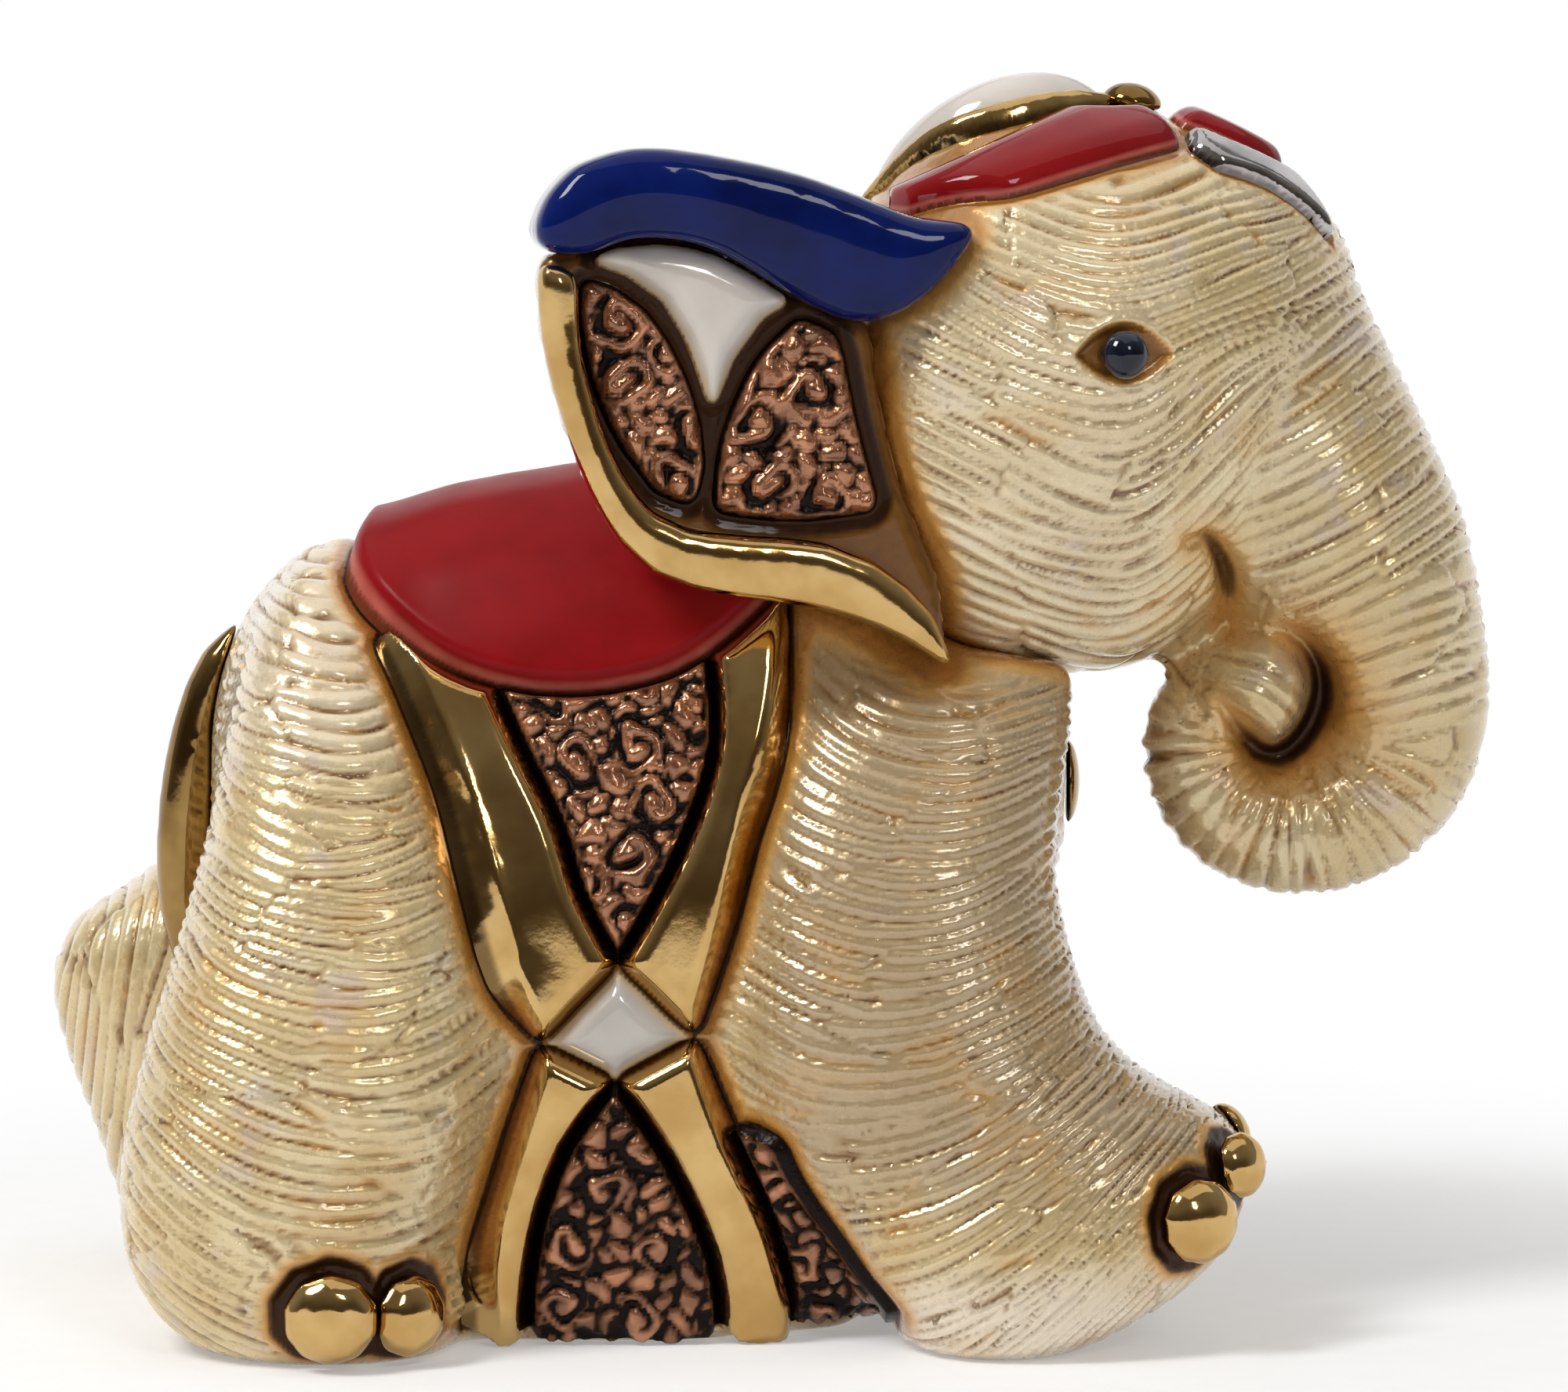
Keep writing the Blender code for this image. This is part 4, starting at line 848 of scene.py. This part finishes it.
# Painted shade in khaki on the forelegs under the head, and painted light, paler, on the forefeet and on
# top of the haunches
foreleg_painted_shade = smooth_step(-4.0, 3.0, x) * smooth_step(6.0, 16.0, z)
feet_painted_light = smooth_step(8.0, 12.0, x) * smooth_step(9.0, 3.0, z)
haunch_painted_light = 0.5 * smooth_step(38.0, 46.0, z) * smooth_step(-18.0, -24.0, x)
painted_shade_and_light = foreleg_painted_shade - feet_painted_light - haunch_painted_light
body_layers = {"groove": groove, "stain": stain, "dark": dark, "seam": seam * calm, "painted_shade_and_light": painted_shade_and_light}
for name, mesh in divided(body, BODY, body_layers).items():
    place("skin_" + name, mesh, PEARL, "pearl_glaze", [name])

# Head and trunk: one skin, with the cap of enamel on it
CAP_FIELDS = [("cap_white_panel", WHITE_FIELD, 0.3, 0.1, 2.3, 3.0)]
CAP_FIELDS += [(name, GOLD_FIELD, 0.2, 0.05, 1.25, 1.0) for name in RIDGES]
CAP_FIELDS += [(name, RED_FIELD, 0.35, -0.1, 1.2, 1.8) for name in CAP_RED]
CAP_FIELDS += [(name, (PLATINUM, "platinum_lustre"), 0.25, 0.2, 0.8, 0.9) for name in both("brow_plate")]
# The upper edge of the red panels beside the ridge, their lower edge and their back end, in side view
RED_EDGE = ((9.3, 81.0), (23.5, 87.5))
RED_LOW = ((9.9, 12.6, 16.0, 20.1, 25.8, 30.0), (79.4, 79.2, 80.0, 81.3, 83.0, 84.1))
RED_BACK = 9.3
RED_GAP = 0.4

curl = []
for step in range(1, CURL_STEPS + 1):
    t = step / CURL_STEPS
    angle = -math.radians(CURL_TURN) * t
    radius = CURL_START - (CURL_START - CURL_END) * t ** CURL_TIGHTENING
    curl.append((CURL_CENTRE[0] + radius * math.cos(angle), CURL_CENTRE[1] + radius * math.sin(angle)))
trunk_line = TRUNK_LINE + tuple(curl)

face = skin(HEAD, FACE_STEP, 30, 26)
x, y, z = face.points.T
outs = face.ways_out(6)
union = np.full(len(x), -PAD)
edge_from, edge_to = np.array(RED_EDGE)
edge_way = (edge_to - edge_from) / np.linalg.norm(edge_to - edge_from)
under_edge = (x - edge_from[0]) * edge_way[1] - (z - edge_from[1]) * edge_way[0]
for name, look, ease, growth, height, bevel in CAP_FIELDS:
    allowed = (z > 68.0) & (outs[:, 2] > 0.05) & (side_of(name) * y > -0.5)
    depth = Outline(name, TOP_VIEW, ease).depth(face.points, allowed) / np.clip(outs[:, 2], 0.45, 1.0)
    depth = face.blur(depth, 1 if look == RED_FIELD else 4) + growth
    if "cap_red" in name:
        wide = depth + 3.0 * smooth_step(26.0, 16.0, x)
        edges = [wide, under_edge, z - np.interp(x, *RED_LOW), x - RED_BACK, -RED_GAP - union]
        depth = face.blur(np.minimum.reduce(edges), 3)
    if name in RIDGES:
        depth = depth + 0.3 * smooth_step(14.0, 9.0, x)
        height = height * (0.45 + 0.55 * smooth_step(8.0, 14.0, x))
    if name == "cap_white_panel":
        height = height * (0.35 + 0.65 * smooth_step(6.0, 18.0, x))
    union = np.maximum(union, depth)
    field(name, face, outs, depth, allowed, *look, height, bevel)

eye_low, eye_high = (np.array(corner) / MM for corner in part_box("eye_right"))
eye_at = (eye_low + eye_high) / 2
u, w = x - eye_at[0], z - eye_at[2]
to_knob = clearances(face.points, ["crown_knob"], 3.0)[0]
to_ear = clearances(face.points, EARS + both("ear_blue_roll") + ["torso"], 5.0)[0]
dip = hollows(face, 40)
rise_right = 1.15 + (0.5 - 1.15) * smooth_step(-3.0, 4.0, w)
slope = np.where(u < 0, 0.5, rise_right)
arcs = slope * (np.sqrt(u * u + 20.0) - math.sqrt(20.0)) - w
side_points = face.points[:, SIDE_VIEW]
ring = along_line(side_points, trunk_line)[1]
ball_u, ball_w = x - BALL_CENTRE[0], z - BALL_CENTRE[1]
to_trunk = clearances(face.points, ["trunk"], 6.0)[0]
on_trunk = smooth_step(3.5, 0.5, to_trunk) * smooth_step(4.0, 9.0, ring)
ball_away = np.hypot(ball_u, ball_w) / BALL_SIZE
on_ball = smooth_step(1.15, 0.95, ball_away) * (to_trunk < 1.5)
ring = ring + (0.5 * ball_u + 0.86 * ball_w + 0.06 * (0.86 * ball_u - 0.5 * ball_w) ** 2 - ring) * on_ball
height, seam = combed(face.points, arcs, PITCH)
ringed, ring_seam = combed(face.points, ring, PITCH)
height = (1.0 - on_trunk) * height + on_trunk * ringed
seam = np.where(on_trunk > 0.5, ring_seam, seam)
lid_span = np.clip(1.0 - (u / LID_HALF) ** 2, 0.0, 1.0)
lid = np.minimum(LID_TOP * lid_span - w, LID_BOTTOM * lid_span + w)
lid = np.where((np.abs(u) < LID_HALF) & (np.abs(y) > 8.0), lid, -1.0)
mouth_line, moon_line = rounded(MOUTH), rounded(CRESCENT)
mouth_gap, mouth_place = along_line(side_points, mouth_line)
mouth_length = along_line(mouth_line[-1:], mouth_line)[1][0]
mouth_share = np.sin(math.pi * np.clip(mouth_place / mouth_length, 0.08, 0.92)) ** 0.4
mouth = hump(mouth_gap, 0.0, MOUTH_WIDTH * (0.4 + 0.6 * mouth_share)) * mouth_share * (np.abs(y) > 3.0)
moon_gap, moon_place = along_line(side_points, moon_line)
moon_length = along_line(moon_line[-1:], moon_line)[1][0]
moon_share = np.sin(math.pi * np.clip(moon_place / moon_length, 0.0, 1.0)) ** 0.6
moon = hump(moon_gap, 0.0, CRESCENT_WIDTH * (0.35 + 0.65 * moon_share)) * moon_share * (to_trunk < 1.5)
mouth, moon = face.blur(mouth, 4), face.blur(moon, 3)
in_lid = smooth_step(-0.1, 0.55, lid)
calm = smooth_step(-0.6, -1.7, union) * smooth_step(0.8, 2.6, to_ear) * (1.0 - smooth_step(-0.8, 0.0, lid))
calm = calm * (1.0 - hump(mouth_gap, 0.0, 1.6)) * smooth_step(0.4, 1.4, to_knob) * (1.0 - moon)
groove = (1.0 - height) * calm
hidden = 0.4 * smooth_step(0.2, 0.8, union)
cut = COMB_DEPTH * groove + LID_DEPTH * in_lid + MOUTH_DEPTH * mouth + 0.3 * hump(union, -0.2, 0.5) + hidden
# The ball at the trunk's tip and its shoulder stand out from the web, on the faces that look sideways
over = np.abs(y - CURL_PLANE)
domed = over
for (dome_x, dome_z), size, rim in CURL_DOMES:
    away = np.hypot(x - dome_x, z - dome_z) / size
    dome = rim + size * np.sqrt(np.clip(1.0 - away ** 2, 0.0, 1.0))
    domed = np.maximum(domed, np.where((away < 1.0) & (to_trunk < 1.5), dome, 0.0))
sideways = smooth_step(0.3, 0.6, np.sign(y - CURL_PLANE) * outs[:, 1])
lift = face.blur((domed - over) * sideways, 2) * np.sign(y - CURL_PLANE)
face.points -= outs * cut[:, None]
face.points[:, 1] += lift
face.points[:, 1] *= 1.0 - CRESCENT_DEPTH * moon
stain = smooth_step(-1.9, -0.5, union) + 0.8 * smooth_step(0.1, 0.6, dip)
stain = stain + 0.9 * smooth_step(3.0, 0.6, to_ear)
stain = stain * (1.0 - 0.8 * on_ball)
ochre_moon = (0.45 + 0.5 * moon_share) * hump(moon_gap, 0.0, 4.0 - 2.6 * on_ball) * (to_trunk < 1.5)
stain = np.clip(np.maximum.reduce([stain, smooth_step(-0.3, 0.25, lid), mouth, ochre_moon]), 0.0, 1.0)
stain = np.maximum(stain, 0.75 * hump(mouth_gap, 0.0, 1.8) * (np.abs(y) > 3.0))
# Umber in the mouth's crease, in the crescent and inside the eyelids is painted shade; beside the fields it
# is the glaze's dark line
dark_edges = 0.4 * smooth_step(-0.4, -0.1, union)
mouth_painted_shade = 0.7 * smooth_step(0.35, 0.85, mouth)
crescent_painted_shade = 0.9 * smooth_step(0.3, 0.95, moon)
dark = np.maximum.reduce([dark_edges, mouth_painted_shade, crescent_painted_shade, 0.5 * in_lid])
# Painted shade in khaki towards the trunk's tip, and painted light, paler, on the head behind it
painted_shade_and_light = 0.2 * smooth_step(30.0, 40.0, x) - 0.3 * smooth_step(33.0, 25.0, x)
head_layers = {"groove": groove, "stain": stain, "dark": dark, "seam": seam * calm, "painted_shade_and_light": painted_shade_and_light}
for name, mesh in divided(face, HEAD, head_layers).items():
    place("skin_" + name, mesh, PEARL, "pearl_glaze", [name])

# Ears: a brown face that carries fields, and a combed back
EAR_FIELDS = [(name, WHITE_FIELD, 0.2, 0.2, 1.4, 1.8, 0.0) for name in both("ear_white_field")]
EAR_FIELDS += [(name, SCROLL_FIELD, 0.25, 0.42, 1.0, 0.6, 1.25) for name in EAR_SCROLLS]
for ear in EARS:
    flap = Surface(remeshed(joined([ear], 0.1), SKIN_STEP)).smooth(24)
    outs = flap.ways_out(6)
    facing = side_of(ear) * outs[:, 1]
    allowed = facing > 0.3
    union = np.full(len(facing), -PAD)
    for name, look, ease, growth, height, bevel, relief in EAR_FIELDS:
        if side_of(name) == side_of(ear):
            depth = flap.blur(Outline(name, SIDE_VIEW, ease).depth(flap.points, allowed), 1) + growth
            union = np.maximum(union, depth)
            field(name, flap, outs, depth, allowed, *look, height, bevel, relief)
    dark = smooth_step(0.1, 0.45, facing)
    arc = np.hypot(flap.points[:, 0] - EAR_TURN[0], flap.points[:, 2] - EAR_TURN[1])
    height, seam = combed(flap.points, arc, PITCH)
    groove = (1.0 - height) * (1.0 - dark)
    flap.points -= outs * (COMB_DEPTH * groove + 0.3 * hump(union, -0.3, 0.5))[:, None]
    flap.write()
    dusk = dark * (0.55 + 0.4 * smooth_step(-1.4, -0.7, union))
    store(flap.mesh, {"groove": groove, "stain": dark, "dark": dusk, "seam": seam * (1.0 - dark)})
    place("skin_" + ear, flap.mesh, PEARL, "pearl_glaze", [ear])

CASTINGS = tree_of(BODY + HEAD + EARS)
for name in both("ear_blue_roll"):
    bead(name, BLUE, "blue_enamel", 27, 0.45, 1.5 * BEAD_STEP)
for name in both("ear_gold_rim"):
    bead(name, GOLD, "gold_lustre", 9, 0.3)
for name in NAILS:
    bead(name, GOLD, "gold_lustre", 12, 0.12)
for name, reach in (("tail", 1.0), ("crown_knob", 1.0), ("chest_pendant", 0.7)):
    bead(name, DARK_GOLD, "dark_gold_lustre", 24, 0.2, BEAD_STEP, reach)
for name in both("eye"):
    bead(name, EYE, "eye_glaze", 10)

# Studio: a pale floor that rises far behind, a room that is darker in front, and soft lamps
FLOOR_SIZE, FLOOR_CELLS = 40.0, 40
FLOOR_REACH = 2.0
# How white the floor shows beside the figure, and the distances between which it turns all white
NEAR_WHITE = 0.3
SHADOW_REACH = (0.045, 0.14)
ROOM_LIGHT = 0.4
floor_mesh = bpy.data.meshes.new("floor")
floor_form = bmesh.new()
bmesh.ops.create_grid(floor_form, x_segments=FLOOR_CELLS, y_segments=FLOOR_CELLS, size=FLOOR_SIZE)
for vertex in floor_form.verts:
    vertex.co.z = max(0.0, vertex.co.y - FLOOR_REACH)
floor_form.to_mesh(floor_mesh)
floor_form.free()
floor = bpy.data.objects.new("floor", floor_mesh)
bpy.context.scene.collection.objects.link(floor)


def floor_finish():
    """White paper that keeps the shadow beside the figure and shows all white farther away."""
    made = bpy.data.materials.new("floor_paper")
    made.use_nodes = True
    tree = made.node_tree
    tree.nodes.remove(tree.nodes["Principled BSDF"])
    start = Wire(tree)
    grain = start.noise(3.0, 3.0)
    shade = grain.rise(0.2, 0.8).blend(colour(250, 250, 250), colour(253, 253, 253))
    paper = start.node("ShaderNodeBsdfDiffuse", None, {"Color": shade})
    glow = start.node("ShaderNodeEmission", None, {"Color": (1.0, 1.0, 1.0, 1.0), "Strength": 1.0})
    place_on = start.node("ShaderNodeTexCoord", out="Object")
    away = start.node("ShaderNodeVectorMath", {"operation": "LENGTH"}, {0: place_on}, out="Value")
    far = away.rise(*SHADOW_REACH)
    names = ("Is Camera Ray", "Is Glossy Ray", "Is Transmission Ray")
    rays = [start.node("ShaderNodeLightPath", out=name) for name in names]
    seen = start.math("MAXIMUM", start.math("MAXIMUM", rays[0], rays[1]), rays[2])
    white = NEAR_WHITE + (1.0 - NEAR_WHITE) * far
    mixed = start.node("ShaderNodeMixShader", None, {0: white * seen, 1: paper, 2: glow})
    tree.links.new(mixed.socket, tree.nodes["Material Output"].inputs["Surface"])
    return made


floor_mesh.materials.append(floor_finish())

world = bpy.data.worlds.new("studio")
bpy.context.scene.world = world
world.use_nodes = True
tree = world.node_tree
start = Wire(tree)
heading = start.node("ShaderNodeTexCoord", out="Generated")
toward = start.node("ShaderNodeSeparateXYZ", None, {0: heading}, out="Y")
up = start.node("ShaderNodeSeparateXYZ", None, {0: heading}, out="Z")
room = (0.0 - toward).rise(-0.2, 0.6)
above = up.rise(0.08, 0.6).blend((0.2, 0.16, 0.13, 1.0), (0.52, 0.49, 0.44, 1.0))
light = room.blend((0.75, 0.75, 0.76, 1.0), above)
background = tree.nodes["Background"]
tree.links.new(light.socket, background.inputs["Color"])
background.inputs["Strength"].default_value = ROOM_LIGHT


def lamp(name, at, size, power):
    """A soft lamp with a rectangular face that points at the figure."""
    data = bpy.data.lights.new(name, "AREA")
    data.shape = "RECTANGLE"
    data.size, data.size_y = size
    data.energy = power
    made = bpy.data.objects.new(name, data)
    bpy.context.scene.collection.objects.link(made)
    made.location = at
    made.rotation_euler = (Vector(TARGET) * MM - Vector(at)).to_track_quat("-Z", "Y").to_euler()


# Each lamp: its place and the size of its face in metres, and its power in watts
LAMPS = (("key_lamp", (-0.55, -0.4, 0.82), (0.26, 0.36), 7.0),
         ("fill_lamp", (0.3, -0.72, 0.5), (0.13, 0.22), 1.0),
         ("top_lamp", (0.1, 0.1, 1.1), (1.4, 1.4), 4.0))
for row in LAMPS:
    lamp(*row)

camera_data = bpy.data.cameras.new("camera")
camera_data.sensor_width = SENSOR
camera_data.lens = FOCAL_PIXELS / PHOTO_WIDTH * SENSOR
camera = bpy.data.objects.new("camera", camera_data)
bpy.context.scene.collection.objects.link(camera)
tilt = math.radians(ELEVATION)
camera.location = Vector(TARGET) * MM + Vector((0.0, -math.cos(tilt), math.sin(tilt))) * DISTANCE * MM
camera.rotation_euler = (math.radians(90.0) - tilt, 0.0, 0.0)
bpy.context.scene.camera = camera
bpy.context.scene.view_settings.view_transform = "Standard"
